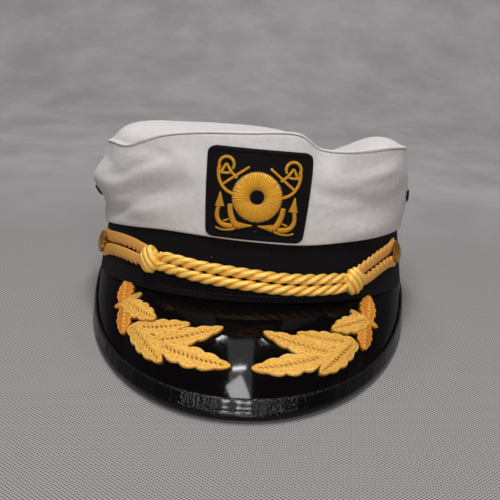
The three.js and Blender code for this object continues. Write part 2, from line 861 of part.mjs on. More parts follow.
// The flattened end of the strap: out along its upper run, round the button's shank and back.
function strapLoop(side) {
  const knotAngle = knotAngles[side];
  const buttonAngle = buttonAngles[side];
  const sign = Math.sign(buttonAngle - knotAngle);
  const halfGap = (runWidth + gap) / 2;
  const bend = shankRadius + gap + runWidth / 2;
  const steps = 11;
  const bendSteps = 6;
  const path = [];
  const along = (t) => lerp(knotAngle + sign * knotTurn, buttonAngle, t);
  const spread = (t) => lerp(halfGap, bend, clamp((t - 1) / runFlare + 1) ** 2);
  for (let i = 0; i < steps; i++) {
    path.push({ angle: along(i / steps), rise: spread(i / steps) });
  }
  for (let i = 0; i <= bendSteps; i++) {
    const turn = ((180 * i) / bendSteps) * degrees;
    const onward = (bend * Math.sin(turn)) / headHalfWidth / degrees;
    path.push({ angle: buttonAngle + sign * onward, rise: bend * Math.cos(turn) });
  }
  for (let i = steps - 1; i >= 0; i--) {
    path.push({ angle: along(i / steps), rise: -spread(i / steps) });
  }
  const spots = path.map(({ angle, rise }) => strapPoint(angle, rise, runThickness / 2));
  return loft(
    spots.map((spot, i) => {
      const before = spots[Math.max(i - 1, 0)];
      const after = spots[Math.min(i + 1, spots.length - 1)];
      const forward = after.clone().sub(before).normalize();
      const out = outwards(path[i].angle);
      const across = forward.clone().cross(out).normalize();
      const half = runWidth / 2 - (i % 2) * runScallop;
      const at = (a, o) =>
        spot
          .clone()
          .addScaledVector(across, a * half)
          .addScaledVector(out, (o * runThickness) / 2);
      return [at(-1, 0), at(-0.75, -1), at(0.75, -1), at(1, 0), at(0.75, 1), at(-0.75, 1)];
    }),
  );
}

// Fittings

function bandNormal(angle) {
  const slope = place(angle, bandFace(angle, bandHeight), bandHeight).sub(place(angle, 0, 0));
  return alongBand(angle).cross(slope).normalize();
}

function turnedTo(point, out) {
  const turn = new THREE.Quaternion().setFromUnitVectors(new THREE.Vector3(0, 1, 0), out);
  return new THREE.Matrix4().compose(point, turn, new THREE.Vector3(1, 1, 1));
}

// A domed button whose shank passes through the strap's loop to the band.
function buttonGeometry() {
  const base = runThickness + gap;
  const profile = [
    [0, 0],
    [shankRadius, 0],
    [shankRadius, base],
    [buttonRadius - 0.6, base],
    [buttonRadius, base + 0.6],
    [buttonRadius - 0.5, base + 1.3],
    [buttonRadius * 0.66, base + buttonDome * 0.8],
    [0, base + buttonDome],
  ];
  return latheOf(profile, 14);
}

function eyeletGeometry() {
  const face = clothThickness / 2 + eyeletRoom;
  const profile = [
    [eyeletBore, -face - eyeletFlange],
    [eyeletRadius, -face - eyeletFlange],
    [eyeletRadius, -face],
    [eyeletBarrel, -face],
    [eyeletBarrel, face],
    [eyeletRadius, face],
    [eyeletRadius - 0.4, face + eyeletFlange],
    [eyeletBore, face + eyeletFlange * 0.7],
  ];
  return latheOf(profile, 12);
}

function latheOf(profile, segments) {
  const rings = range(segments).map((i) => {
    const turn = ((360 * i) / segments) * degrees;
    return profile.map(([r, y]) => new THREE.Vector3(r * Math.cos(turn), y, r * Math.sin(turn)));
  });
  return loft(rings, true);
}

function eyeletPlace({ angle, level }) {
  const step = 0.06;
  const { out, up } = wallMiddle(angle, level);
  const low = wallMiddle(angle, level - step);
  const high = wallMiddle(angle, level + step);
  const slope = place(angle, high.out, high.up).sub(place(angle, low.out, low.up));
  return turnedTo(place(angle, out, up), alongBand(angle).cross(slope).normalize());
}

// How far back the cap leans, in radians, so that the rim's rolled edge and the band's back both touch
// the floor.
function restingLean() {
  const reach = beadRadius + peakThickness / 2 + floorPress;
  const leans = peakAngles.map((angle) => {
    const rim = peakRim(angle);
    const run = headHalfLength - rim.y;
    return Math.asin(reach / Math.hypot(run, rim.z)) - Math.atan2(rim.z, run);
  });
  return Math.max(...leans);
}

// Assembly

const finish = {
  whiteTwill: new THREE.MeshStandardMaterial({ color: 0xece8e4, roughness: 0.85 }),
  blackCloth: new THREE.MeshStandardMaterial({ color: 0x17151a, roughness: 0.9 }),
  blackPatent: new THREE.MeshStandardMaterial({ color: 0x0b0b0d, roughness: 0.08 }),
  blackEdging: new THREE.MeshStandardMaterial({ color: 0x0c0c0e, roughness: 0.3 }),
  goldThread: new THREE.MeshStandardMaterial({ color: 0xe0a63c, roughness: 0.55 }),
  goldRope: new THREE.MeshStandardMaterial({ color: 0xe8ae45, roughness: 0.35 }),
  brass: new THREE.MeshStandardMaterial({ color: 0xd9a441, roughness: 0.25, metalness: 1 }),
  blackMetal: new THREE.MeshStandardMaterial({ color: 0x050505, roughness: 0.4, metalness: 0.5 }),
};

const lean = restingLean();
const cap = new THREE.Group();

function add(name, geometry, material, parent = cap) {
  const mesh = new THREE.Mesh(geometry, material);
  mesh.name = name;
  parent.add(mesh);
  return mesh;
}

add("crown_wall", crownWall(), finish.whiteTwill);
add("crown_top", crownTop(), finish.whiteTwill);
add("band", band(lean), finish.blackCloth);
add("peak", peak(), finish.blackPatent);
add("peak_binding", binding(), finish.blackEdging);
add("leaf_spray_left", spray(-1), finish.goldThread);
add("leaf_spray_right", spray(1), finish.goldThread);
add("badge_patch", badgePatch(), finish.blackCloth);
const emblem = [lifeRing(), ...anchorLines(-1), ...anchorLines(1)];
add("badge_embroidery", fused(emblem), finish.goldThread);
add("strap_rope_upper", rope(1), finish.goldRope);
add("strap_rope_lower", rope(-1), finish.goldRope);
for (const side of ["left", "right"]) {
  add("strap_knot_" + side, knot(knotAngles[side]), finish.goldRope);
  add("strap_loop_" + side, strapLoop(side), finish.goldRope);
  const button = add("button_" + side, buttonGeometry(), finish.brass);
  const seat = strapPoint(buttonAngles[side], 0, 0);
  button.applyMatrix4(turnedTo(seat, bandNormal(buttonAngles[side])));
  const eyelet = add("eyelet_" + side, eyeletGeometry(), finish.blackMetal);
  eyelet.applyMatrix4(eyeletPlace(eyelets[side]));
}

// Leaning about the back of the band's lower edge, then standing on z = 0 with the middle over the origin.
const leaning = new THREE.Group();
cap.position.y = -headHalfLength;
leaning.rotation.x = -lean;
leaning.add(cap);
const model = new THREE.Group();
model.add(leaning);
const box = new THREE.Box3().setFromObject(model, true);
const centre = box.getCenter(new THREE.Vector3());
leaning.position.set(-centre.x, -centre.y, -box.min.z);

export default model;
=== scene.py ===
"""The looks of a peaked yachting cap: soft white crown, black band, glossy peak and gold trim.

Pieces are shaped in the cap's own frame, in millimetres: the band's lower edge lies in the plane
z = 0, the front faces -Y and angles are measured from the front, positive to the right. CapForm leans
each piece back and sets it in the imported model's frame, in metres.
"""

import logging
import math
import random
from dataclasses import dataclass, field, replace
from enum import Enum
from functools import cache
from typing import Callable, Sequence

import bpy
from mathutils import Matrix, Vector


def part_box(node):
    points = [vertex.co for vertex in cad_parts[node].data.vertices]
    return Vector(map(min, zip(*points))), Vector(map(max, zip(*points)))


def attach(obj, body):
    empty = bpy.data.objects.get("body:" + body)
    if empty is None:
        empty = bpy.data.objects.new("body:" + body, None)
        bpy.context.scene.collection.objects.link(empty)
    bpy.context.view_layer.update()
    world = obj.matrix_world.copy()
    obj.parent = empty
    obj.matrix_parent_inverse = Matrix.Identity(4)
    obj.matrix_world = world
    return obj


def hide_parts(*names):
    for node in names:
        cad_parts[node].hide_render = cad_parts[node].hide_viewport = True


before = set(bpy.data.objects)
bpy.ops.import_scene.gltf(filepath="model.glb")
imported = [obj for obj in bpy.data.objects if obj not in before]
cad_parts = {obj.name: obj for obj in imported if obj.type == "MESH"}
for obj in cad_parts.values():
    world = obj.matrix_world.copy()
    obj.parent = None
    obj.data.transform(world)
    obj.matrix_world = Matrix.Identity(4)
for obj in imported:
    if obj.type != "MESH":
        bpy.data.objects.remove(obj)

LOG = logging.getLogger("cap")
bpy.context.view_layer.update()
METRES = 0.001

Shape = Callable[[float, float, float], Vector]
Row = tuple[float, ...]


class Side(Enum):
    """The two sides of the cap, as seen from the front."""

    LEFT = -1
    RIGHT = 1

    @property
    def word(self) -> str:
        """The side's name in node names."""
        return self.name.lower()


class Slot(Enum):
    """The record's material slots."""

    TWILL = "white_twill"
    CLOTH = "black_cloth"
    PATENT = "black_patent"
    EDGING = "black_edging"
    THREAD = "gold_thread"
    ROPE = "gold_rope"
    METAL = "gold_metal"
    EYELET = "black_metal"


def lerp(a: float, b: float, t: float) -> float:
    """Mix two numbers."""
    return a + (b - a) * t


def clamp(t: float) -> float:
    """Keep a share between 0 and 1."""
    return min(1.0, max(0.0, t))


def bell(t: float) -> float:
    """A smooth bump that is 1 at 0 and 0 beyond -1 and 1."""
    return 0.5 + 0.5 * math.cos(math.pi * t) if abs(t) < 1 else 0.0


def turned(angle: float) -> float:
    """Bring an angle in degrees to between -180 and 180."""
    return (angle + 180.0) % 360.0 - 180.0


def sample(table: Sequence[Row], at: float) -> float:
    """Read a smooth value between the rows of a table.

    Args:
        table: Rows of a place and a value, in order of place.
        at: The place to read.

    Returns:
        The value there, held beyond the table's ends.
    """
    if at <= table[0][0]:
        return table[0][1]
    if at >= table[-1][0]:
        return table[-1][1]
    last = len(table) - 1
    i = next(k for k, row in enumerate(table) if row[0] > at) - 1

    def slope(k: int) -> float:
        a, b = table[max(k - 1, 0)], table[min(k + 1, last)]
        return (b[1] - a[1]) / (b[0] - a[0])

    a, b = table[i], table[i + 1]
    width = b[0] - a[0]
    t = (at - a[0]) / width
    return (
        (2 * t**3 - 3 * t**2 + 1) * a[1]
        + (t**3 - 2 * t**2 + t) * width * slope(i)
        + (3 * t**2 - 2 * t**3) * b[1]
        + (t**3 - t**2) * width * slope(i + 1)
    )


def along_curve(points: Sequence[Row], t: float) -> Row:
    """Find a point on the smooth curve through a few points.

    Args:
        points: Points of equal length.
        t: The share of the way from the first to the last.

    Returns:
        The point there.
    """
    last = len(points) - 1
    at = clamp(t) * last
    i = min(int(at), last - 1)
    u = at - i
    rows = [points[min(max(i + k, 0), last)] for k in (-1, 0, 1, 2)]
    return tuple(
        0.5 * (2 * b + (c - a) * u + (2 * a - 5 * b + 4 * c - d) * u**2 + (3 * b - a - 3 * c + d) * u**3)
        for a, b, c, d in zip(*rows)
    )


def round_loop(points: Sequence[Row], share: float) -> Row:
    """Find a point on the closed line through a few points, by its share of the points passed."""
    at = share * len(points)
    i = int(at) % len(points)
    pair = zip(points[i], points[(i + 1) % len(points)])
    return tuple(lerp(a, b, at - int(at)) for a, b in pair)


@dataclass(frozen=True)
class Fold:
    """One soft fold of the crown's wall; level, reach and depth are shares."""

    angle: float
    spread: float
    level: float
    reach: float
    depth: float


@dataclass
class CapForm:
    """The cap's measurements and the surfaces that all its pieces share, in millimetres."""

    half_width: float = 91.0
    half_length: float = 100.0
    band_height: float = 34.0
    band_thickness: float = 2.0
    taper_side: float = 4.5
    taper_front: float = 6.5
    floor_press: float = 0.9
    gap: float = 0.3
    cloth: float = 1.6
    crown_height: float = 87.0
    puff: float = 7.0
    swell: float = 1.6
    fold_fade: float = 1.6
    seam_lean: float = 0.6
    hem: float = 1.5
    sag: float = 8.0
    welt: float = 0.6
    peak_thickness: float = 1.8
    peak_ahead: float = 62.0
    peak_inset: float = 0.5
    peak_drop: float = 40.7
    peak_bow: float = 0.034
    bow_slant: float = 0.7
    rim_roundness: float = 0.95
    rim_fall: float = 0.57
    peak_end: float = 86.0
    bead: float = 2.2
    run_thickness: float = 2.6
    shank: float = 1.3
    badge_offset: float = 3.5
    badge_level: float = 56.0
    seam: Sequence[Row] = (
        (-180, 0.82), (-140, 0.83), (-95, 0.845), (-66, 0.86), (-53, 0.855), (-42, 0.905),
        (-33, 0.95), (-18, 0.985), (0, 1), (10, 1.01), (16, 1), (20, 0.96), (24, 0.92),
        (32, 0.905), (42, 0.91), (60, 0.925), (95, 0.895), (125, 0.82), (150, 0.77), (165, 0.785),
        (180, 0.82),
    )
    overhang: Sequence[Row] = (
        (-180, 0.3), (-110, 0.7), (-75, 0.72), (-50, 0.35), (-30, 0.1), (0, 0.35), (20, 0.5),
        (40, 0.3), (75, 0.12), (120, 0.3), (180, 0.3),
    )
    strap: Sequence[Row] = (
        (-80, 0.44), (-70, 0.5), (-60, 0.56), (-50, 0.57), (-41, 0.53), (-34, 0.5), (-25, 0.47),
        (-16, 0.42), (-7, 0.385), (2, 0.35), (10, 0.315), (19, 0.295), (28, 0.295), (37, 0.32),
        (45, 0.42), (55, 0.56), (65, 0.63), (75, 0.64),
    )
    folds: Sequence[Fold] = (
        Fold(-84, 38, 0.55, 0.18, 0.9),
        Fold(-62, 26, 0.17, 0.1, -0.3),
        Fold(-42, 26, 0.5, 0.13, -0.36),
        Fold(-48, 24, 0.8, 0.14, 0.22),
        Fold(-42, 22, 0.22, 0.12, 0.3),
        Fold(50, 26, 0.34, 0.13, -0.34),
        Fold(44, 22, 0.1, 0.1, 0.3),
        Fold(60, 22, 0.7, 0.2, 0.16),
        Fold(25, 9, 1.0, 0.2, -0.45),
        Fold(96, 30, 0.45, 0.25, 0.25),
        Fold(150, 28, 0.45, 0.22, 0.4),
        Fold(-145, 28, 0.4, 0.24, 0.45),
        Fold(180, 18, 0.5, 0.3, -0.12),
    )

    buttons: dict[Side, float] = field(default_factory=lambda: {Side.LEFT: -69.0, Side.RIGHT: 65.5})

    def __post_init__(self) -> None:
        """Find where the back of the band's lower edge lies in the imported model."""
        low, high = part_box("band")
        self.lean = lean = self.resting_lean()
        floor = low[2] - self.floor_press * math.cos(lean) * METRES
        self.pivot = Vector(((low[0] + high[0]) / 2, high[1], floor))
        self.leaning = Matrix.Rotation(-lean, 4, "X")

    def resting_lean(self) -> float:
        """How far back the cap leans, in radians, to stand on the peak's edge and the band's back."""
        reach = self.bead + self.peak_thickness / 2 + self.floor_press
        leans = []
        for angle in range(-int(self.peak_end), int(self.peak_end) + 1):
            rim = self.peak_rim(angle)
            run = self.half_length - rim.y
            leans.append(math.asin(reach / math.hypot(run, rim.z)) - math.atan2(rim.z, run))
        return max(leans)

    def set_in_frame(self, point: Vector) -> Vector:
        """Take a point of the cap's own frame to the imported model's frame."""
        back = Vector((point.x, point.y - self.half_length, point.z)) * METRES
        return self.pivot + self.leaning @ back

    def place(self, angle: float, out: float, up: float) -> Vector:
        """Find a point by its angle, its way out from the band's lower edge, and its height."""
        s, c = math.sin(math.radians(angle)), math.cos(math.radians(angle))
        length = math.hypot(self.half_length * s, self.half_width * c)
        return Vector((
            self.half_width * s + out * self.half_length * s / length,
            -self.half_length * c - out * self.half_width * c / length,
            up,
        ))

    def outwards(self, angle: float) -> Vector:
        """The level direction away from the head."""
        return (self.place(angle, 1, 0) - self.place(angle, 0, 0)).normalized()

    def along(self, angle: float) -> Vector:
        """The level direction round the head, towards greater angles."""
        return self.outwards(angle).cross(Vector((0, 0, -1)))

    def band_out(self, angle: float, up: float) -> float:
        """How far the band's outer face has leaned in at a height, as a negative number."""
        front = math.cos(math.radians(angle)) ** 2
        return -lerp(self.taper_side, self.taper_front, front) * up / self.band_height

    def wall_span(self, angle: float) -> tuple[float, float]:
        """The heights of the wall's overhanging edge and of the top seam."""
        at = turned(angle)
        low = self.band_height - self.gap - self.sag * sample(self.overhang, at)
        return low, self.crown_height * sample(self.seam, at)

    def wall_out(self, angle: float, level: float) -> float:
        """How far out the middle of the wall's cloth is, at a share of its height."""
        low, _ = self.wall_span(angle)
        start = self.band_out(angle, low) + 2 * self.gap + self.cloth / 2
        end = self.band_out(angle, self.band_height) * self.seam_lean
        out = lerp(start, end, level) + self.swell * math.sin(math.pi * clamp(level))
        for fold in self.folds:
            beside = bell(turned(angle - fold.angle) / fold.spread)
            drift = (level - fold.level) / fold.reach / self.fold_fade
            out += self.puff * fold.depth * beside * bell(drift)
        return out

    def badge_point(self, across: float, up: float, lift: float) -> Vector:
        """Find a point over the badge's place on the wall, measured from its middle."""
        angle = math.degrees((self.badge_offset + across) / self.half_width)
        height = self.badge_level + up
        low, high = self.wall_span(angle)
        out = self.wall_out(angle, (height - low) / (high - low))
        return self.place(angle, out + self.cloth / 2 + self.gap + lift, height)

    def peak_shelf(self, angle: float) -> Vector:
        """The peak's upper edge, just under the band."""
        return self.place(angle, -self.band_thickness / 2, -self.gap)

    def peak_rim(self, angle: float) -> Vector:
        """The peak's outer edge."""
        s = math.sin(math.radians(angle))
        c = max(0.0, math.cos(math.radians(angle)))
        return Vector((
            (self.half_width - self.peak_inset) * math.copysign(abs(s) ** self.rim_roundness, s),
            -(self.half_length + self.peak_ahead) * c,
            -self.gap - (self.peak_drop - self.gap) * c**self.rim_fall,
        ))

    def peak_length(self, angle: float) -> float:
        """The straight way from the peak's upper edge to its rim."""
        return (self.peak_shelf(angle) - self.peak_rim(angle)).length

    def peak_face(self, angle: float, down: float) -> Vector:
        """A point on the peak's upper face, from 0 at the band to 1 at the rim."""
        point = self.peak_shelf(angle).lerp(self.peak_rim(angle), down)
        swell = self.peak_bow * self.peak_length(angle) * 4 * down * (1 - down) * self.bow_slant
        return point + self.outwards(angle) * swell + Vector((0, 0, swell))

    def peak_normal(self, angle: float, down: float) -> Vector:
        """The direction away from the peak's upper face."""
        across = self.peak_face(angle + 0.5, down) - self.peak_face(angle - 0.5, down)
        along = self.peak_face(angle, down + 0.02) - self.peak_face(angle, down - 0.02)
        return along.cross(across).normalized()

    def strap_point(self, angle: float, rise: float, lift: float) -> Vector:
        """A point over the strap's middle line on the band."""
        up = self.band_height * sample(self.strap, angle) + rise
        return self.place(angle, self.band_out(angle, up) + self.gap + lift, up)


class Bench:
    """The modelling bench: primitives, edit-mode work and applied modifiers."""

    @staticmethod
    def clear() -> None:
        """Leave edit mode and deselect everything."""
        active = bpy.context.object
        if active and active.mode != "OBJECT":
            bpy.ops.object.mode_set(mode="OBJECT")
        bpy.ops.object.select_all(action="DESELECT")

    @staticmethod
    def choose(piece: bpy.types.Object) -> None:
        """Make one piece the only selected and the active one."""
        Bench.clear()
        piece.select_set(True)
        bpy.context.view_layer.objects.active = piece

    @staticmethod
    def sheet(name: str, columns: int, rows: int) -> bpy.types.Object:
        """Add a flat sheet one unit wide and long, from the origin, with a matching UV map."""
        Bench.clear()
        bpy.ops.mesh.primitive_grid_add(
            x_subdivisions=columns, y_subdivisions=rows, size=1.0, location=(0.5, 0.5, 0.0)
        )
        piece = bpy.context.object
        piece.name = name
        piece.data.name = name
        bpy.ops.object.transform_apply(location=True, rotation=False, scale=False)
        return piece

    @staticmethod
    def slab(name: str, columns: int, rows: int) -> bpy.types.Object:
        """Add a unit sheet with a second layer one unit below it."""
        piece = Bench.sheet(name, columns, rows)
        Bench.apply(piece, "SOLIDIFY", thickness=1.0, offset=-1.0)
        return piece

    @staticmethod
    def apply(piece: bpy.types.Object, kind: str, **settings: object) -> None:
        """Add one modifier with its settings and apply it."""
        Bench.choose(piece)
        modifier = piece.modifiers.new(kind.title(), kind)
        for key, value in settings.items():
            setattr(modifier, key, value)
        bpy.ops.object.modifier_apply(modifier=modifier.name)

    @staticmethod
    def mould(piece: bpy.types.Object, shape: Shape) -> None:
        """Move every vertex to where a shape puts it."""
        for vertex in piece.data.vertices:
            vertex.co = shape(*vertex.co)
        piece.data.update()

    @staticmethod
    def weld(piece: bpy.types.Object, distance: float = 2e-6, close: bool = False) -> None:
        """Merge vertices nearer than a distance, close open ends if asked, and turn the faces outwards."""
        Bench.choose(piece)
        bpy.ops.object.mode_set(mode="EDIT")
        bpy.ops.mesh.select_all(action="SELECT")
        bpy.ops.mesh.remove_doubles(threshold=distance)
        if close:
            bpy.ops.mesh.select_all(action="SELECT")
            bpy.ops.mesh.fill_holes(sides=0)
        bpy.ops.mesh.select_all(action="SELECT")
        bpy.ops.mesh.normals_make_consistent(inside=False)
        bpy.ops.object.mode_set(mode="OBJECT")

    @staticmethod
    def smooth(piece: bpy.types.Object, angle: float = 50.0) -> None:
        """Shade a piece smooth, up to an edge angle in degrees."""
        Bench.choose(piece)
        bpy.ops.object.shade_smooth_by_angle(angle=math.radians(angle))

    @staticmethod
    def join(parts: Sequence[bpy.types.Object], name: str) -> bpy.types.Object:
        """Join pieces into the first and name it."""
        Bench.clear()
        for part in parts:
            part.select_set(True)
        bpy.context.view_layer.objects.active = parts[0]
        if len(parts) > 1:
            bpy.ops.object.join()
        parts[0].name = name
        parts[0].data.name = name
        return parts[0]

    @staticmethod
    def copies(pattern: bpy.types.Object, places: Sequence[Matrix], name: str) -> bpy.types.Object:
        """Copy a piece to each place, with its own mesh, and join the copies.

        Args:
            pattern: The piece to repeat; it is removed afterwards.
            places: Where the copies go.
            name: The joined piece's name.

        Returns:
            The joined piece.
        """
        made = []
        for place in places:
            copy = pattern.copy()
            copy.data = pattern.data.copy()
            copy.data.transform(place)
            bpy.context.collection.objects.link(copy)
            made.append(copy)
        bpy.data.objects.remove(pattern)
        return Bench.join(made, name)

    @staticmethod
    def mark(piece: bpy.types.Object, name: str, value: Callable[[Vector], float] | float) -> None:
        """Write a number on every vertex, for a material to read.

        Args:
            piece: The piece.
            name: The attribute's name.
            value: One number, or a function of the vertex's place.
        """
        attribute = piece.data.attributes.new(name, "FLOAT", "POINT")
        for vertex in piece.data.vertices:
            number = value(vertex.co) if callable(value) else value
            attribute.data[vertex.index].value = number


class Nodes:
    """A short way to lay out the nodes of one material or group."""

    def __init__(self, tree: bpy.types.NodeTree) -> None:
        """Work on one tree."""
        self.tree = tree

    def plug(self, value: object, socket: bpy.types.NodeSocket) -> None:
        """Link another node's result to a socket, or set the socket's own value."""
        if isinstance(value, bpy.types.NodeSocket):
            self.tree.links.new(value, socket)
        else:
            socket.default_value = value

    def fill(self, node: bpy.types.Node, **inputs: object) -> bpy.types.Node:
        """Set a node's properties and link or set its inputs.

        Args:
            node: The node.
            **inputs: A value for each property, or input with the spaces of its name as underscores.

        Returns:
            The node.
        """
        for key, value in inputs.items():
            if hasattr(node, key) and not key[0].isupper():
                setattr(node, key, value)
                continue
            label = key.replace("_", " ")
            self.plug(value, next(s for s in node.inputs if s.name == label and s.enabled))
        return node

    def add(self, kind: str, **inputs: object) -> bpy.types.Node:
        """Add a node of a type and fill it."""
        return self.fill(self.tree.nodes.new(kind), **inputs)

    def math(self, operation: str, *values: object) -> bpy.types.NodeSocket:
        """Add a Math node and return its result."""
        node = self.add("ShaderNodeMath", operation=operation)
        for value, socket in zip(values, node.inputs):
            self.plug(value, socket)
        return node.outputs[0]

    def mix(self, share: object, a: object, b: object) -> bpy.types.NodeSocket:
        """Mix two colours and return the result."""
        node = self.add("ShaderNodeMix", data_type="RGBA")
        for value, at in ((share, 0), (a, 6), (b, 7)):
            self.plug(value, node.inputs[at])
        return node.outputs[2]

    def ramp(
        self, value: bpy.types.NodeSocket, low: float, high: float, start: float = 0.0, end: float = 1.0
    ) -> bpy.types.NodeSocket:
        """Stretch a range of values to another one."""
        node = self.add(
            "ShaderNodeMapRange", Value=value, From_Min=low, From_Max=high, To_Min=start, To_Max=end
        )
        return node.outputs["Result"]

    def noise(self, place: bpy.types.NodeSocket, scale: object, **inputs: object) -> bpy.types.NodeSocket:
        """Add a cloudy noise and return its value."""
        return self.add("ShaderNodeTexNoise", Vector=place, Scale=scale, **inputs).outputs["Fac"]

    def wave(
        self, place: bpy.types.NodeSocket, way: str, scale: object, **inputs: object
    ) -> bpy.types.NodeSocket:
        """Add soft stripes that run across a direction and return their value."""
        return self.add(
            "ShaderNodeTexWave", bands_direction=way, Vector=place, Scale=scale, **inputs
        ).outputs["Fac"]

    def written(self, name: str) -> bpy.types.NodeSocket:
        """Read a number that was written on the piece's points."""
        return self.add("ShaderNodeAttribute", attribute_name=name).outputs["Fac"]

    def emboss(self, shader: bpy.types.Node, *layers: tuple[bpy.types.NodeSocket, float, float]) -> None:
        """Chain bumps into the shader's normal; a layer is a height, a strength and a depth in metres."""
        last = shader.inputs["Normal"]
        for height, strength, depth in reversed(layers):
            bump = self.add("ShaderNodeBump", Height=height, Strength=strength, Distance=depth)
            self.plug(bump.outputs["Normal"], last)
            last = bump.inputs["Normal"]


def colour(red: int, green: int, blue: int) -> tuple[float, float, float, float]:
    """Turn a display colour, 0 to 255, into a linear one."""

    def linear(value: int) -> float:
        share = value / 255
        return share / 12.92 if share <= 0.04045 else ((share + 0.055) / 1.055) ** 2.4

    return linear(red), linear(green), linear(blue), 1.0


class Effects:
    """The node groups that several finishes share, each made once."""

    @staticmethod
    def start(name: str, outputs: Sequence[str], **numbers: float) -> tuple[Nodes, object]:
        """Start a group that takes a vector and numbers.

        Args:
            name: The group's name.
            outputs: The names of the numbers that it gives.
            **numbers: The names of the numbers that it takes, with their usual values.

        Returns:
            The group's nodes, and what it takes, by name.
        """
        tree = bpy.data.node_groups.new(name, "ShaderNodeTree")
        tree.interface.new_socket("Vector", in_out="INPUT", socket_type="NodeSocketVector")
        for label, usual in numbers.items():
            socket = tree.interface.new_socket(label, in_out="INPUT", socket_type="NodeSocketFloat")
            socket.default_value = usual
        for label in outputs:
            tree.interface.new_socket(label, in_out="OUTPUT", socket_type="NodeSocketFloat")
        n = Nodes(tree)
        return n, n.add("NodeGroupInput").outputs

    @staticmethod
    @cache
    def weave() -> bpy.types.NodeTree:
        """A diagonal twill weave over a UV map, as a height and a slub mask."""
        n, given = Effects.start("twill weave", ["Height", "Slub"], Ribs=600.0)
        place, scale = given["Vector"], given["Ribs"]
        ribs = n.wave(place, "DIAGONAL", scale, Distortion=0.6, Detail=1.0)
        picks = n.wave(place, "X", scale, Distortion=0.8, Detail=1.0)
        slub = n.noise(place, n.math("MULTIPLY", scale, 0.35), Detail=3.0)
        height = n.math("MULTIPLY_ADD", ribs, 0.7, n.math("MULTIPLY", picks, 0.3))
        n.add("NodeGroupOutput", Height=height, Slub=slub)
        return n.tree

    @staticmethod
    @cache
    def fibres() -> bpy.types.NodeTree:
        """Felted fibres as a height, and a mask of scattered lint."""
        n, given = Effects.start("felted fibres", ["Height", "Lint"], Scale=1500.0)
        place, scale = given["Vector"], given["Scale"]
        lint = n.add("ShaderNodeTexVoronoi", Vector=place, Scale=n.math("MULTIPLY", scale, 0.12))
        n.add(
            "NodeGroupOutput", Height=n.noise(place, scale, Detail=4.0, Roughness=0.7),
            Lint=n.math("LESS_THAN", lint.outputs["Distance"], 0.075),
        )
        return n.tree

    @staticmethod
    @cache
    def threads() -> bpy.types.NodeTree:
        """Laid threads across a UV map, as a height and a slow change of shade."""
        n, given = Effects.start("laid threads", ["Height", "Shade"], Count=60.0, Slant=0.0)
        place = given["Vector"]
        axes = n.add("ShaderNodeSeparateXYZ", Vector=place).outputs
        slid = n.math("MULTIPLY_ADD", axes["Y"], given["Slant"], axes["X"])
        turns = n.math("MULTIPLY", slid, given["Count"])
        phase = n.math("ADD", turns, n.noise(place, 30.0, Detail=2.0))
        shade = n.add(
            "ShaderNodeTexNoise", noise_dimensions="1D", W=n.math("MULTIPLY", phase, 0.9), Scale=1.0,
            Detail=2.0,
        )
        n.add(
            "NodeGroupOutput", Shade=shade.outputs["Fac"],
            Height=n.math("ABSOLUTE", n.math("SINE", n.math("MULTIPLY", phase, math.pi))),
        )
        return n.tree


class Finish:
    """One finish: a material whose Principled shader a subclass dresses."""

    name = "finish"

    @cache
    def material(self) -> bpy.types.Material:
        """Make the material, once."""
        made = bpy.data.materials.new(self.name)
        made.use_nodes = True
        n = Nodes(made.node_tree)
        self.dress(n, made.node_tree.nodes["Principled BSDF"], n.add("ShaderNodeTexCoord").outputs["Object"])
        return made

    def dress(self, n: Nodes, shader: bpy.types.Node, place: bpy.types.NodeSocket) -> None:
        """Set the shader's sockets and lay out what feeds them.

        Args:
            n: The material's nodes.
            shader: Its Principled shader.
            place: The place on the piece, in metres.
        """
        raise NotImplementedError


@dataclass(frozen=True)
class TwillFinish(Finish):
    """White cotton twill with faint slow stains; size is what its UV map spans, in metres."""

    name: str = "white twill"
    size: tuple[float, float] = (0.58, 0.095)
    ribs: float = 620.0

    def dress(self, n: Nodes, shader: bpy.types.Node, place: bpy.types.NodeSocket) -> None:
        """Lay twill ribs, slubs and slow stains over a warm white."""
        uv = n.add("ShaderNodeUVMap").outputs["UV"]
        flat = n.add("ShaderNodeMapping", Vector=uv, Scale=(*self.size, 1.0)).outputs["Vector"]
        weave = n.add("ShaderNodeGroup", node_tree=Effects.weave(), Vector=flat, Ribs=self.ribs).outputs
        stain = n.ramp(n.noise(place, 18.0, Detail=4.0, Roughness=0.6), 0.35, 0.7)
        clean = n.mix(stain, colour(202, 195, 192), colour(211, 206, 204))
        cloth = n.mix(n.ramp(weave["Slub"], 0.3, 0.7), clean, colour(216, 212, 210))
        n.fill(shader, Base_Color=cloth, Roughness=0.85, Sheen_Weight=0.1, Sheen_Roughness=0.5)
        crumple = n.noise(place, 38.0, Detail=5.0, Roughness=0.5)
        n.emboss(shader, (crumple, 0.18, 0.0012), (weave["Height"], 0.35, 0.0002))


@dataclass(frozen=True)
class ClothFinish(Finish):
    """Black napped cloth with a little lint."""

    name: str = "black cloth"
    scale: float = 1400.0

    def dress(self, n: Nodes, shader: bpy.types.Node, place: bpy.types.NodeSocket) -> None:
        """Lay fine nap and scattered lint over black."""
        nap = n.add("ShaderNodeGroup", node_tree=Effects.fibres(), Vector=place, Scale=self.scale).outputs
        tone = n.mix(n.ramp(nap["Height"], 0.35, 0.65), colour(7, 5, 6), colour(22, 18, 20))
        some = n.math("MULTIPLY", nap["Lint"], n.ramp(n.noise(place, 160.0, Detail=3.0), 0.6, 0.72))
        linted = n.mix(some, tone, colour(150, 140, 140))
        n.fill(shader, Base_Color=linted, Roughness=0.9, Specular_IOR_Level=0.12, Sheen_Weight=0.02)
        n.emboss(shader, (nap["Height"], 0.6, 0.0003))


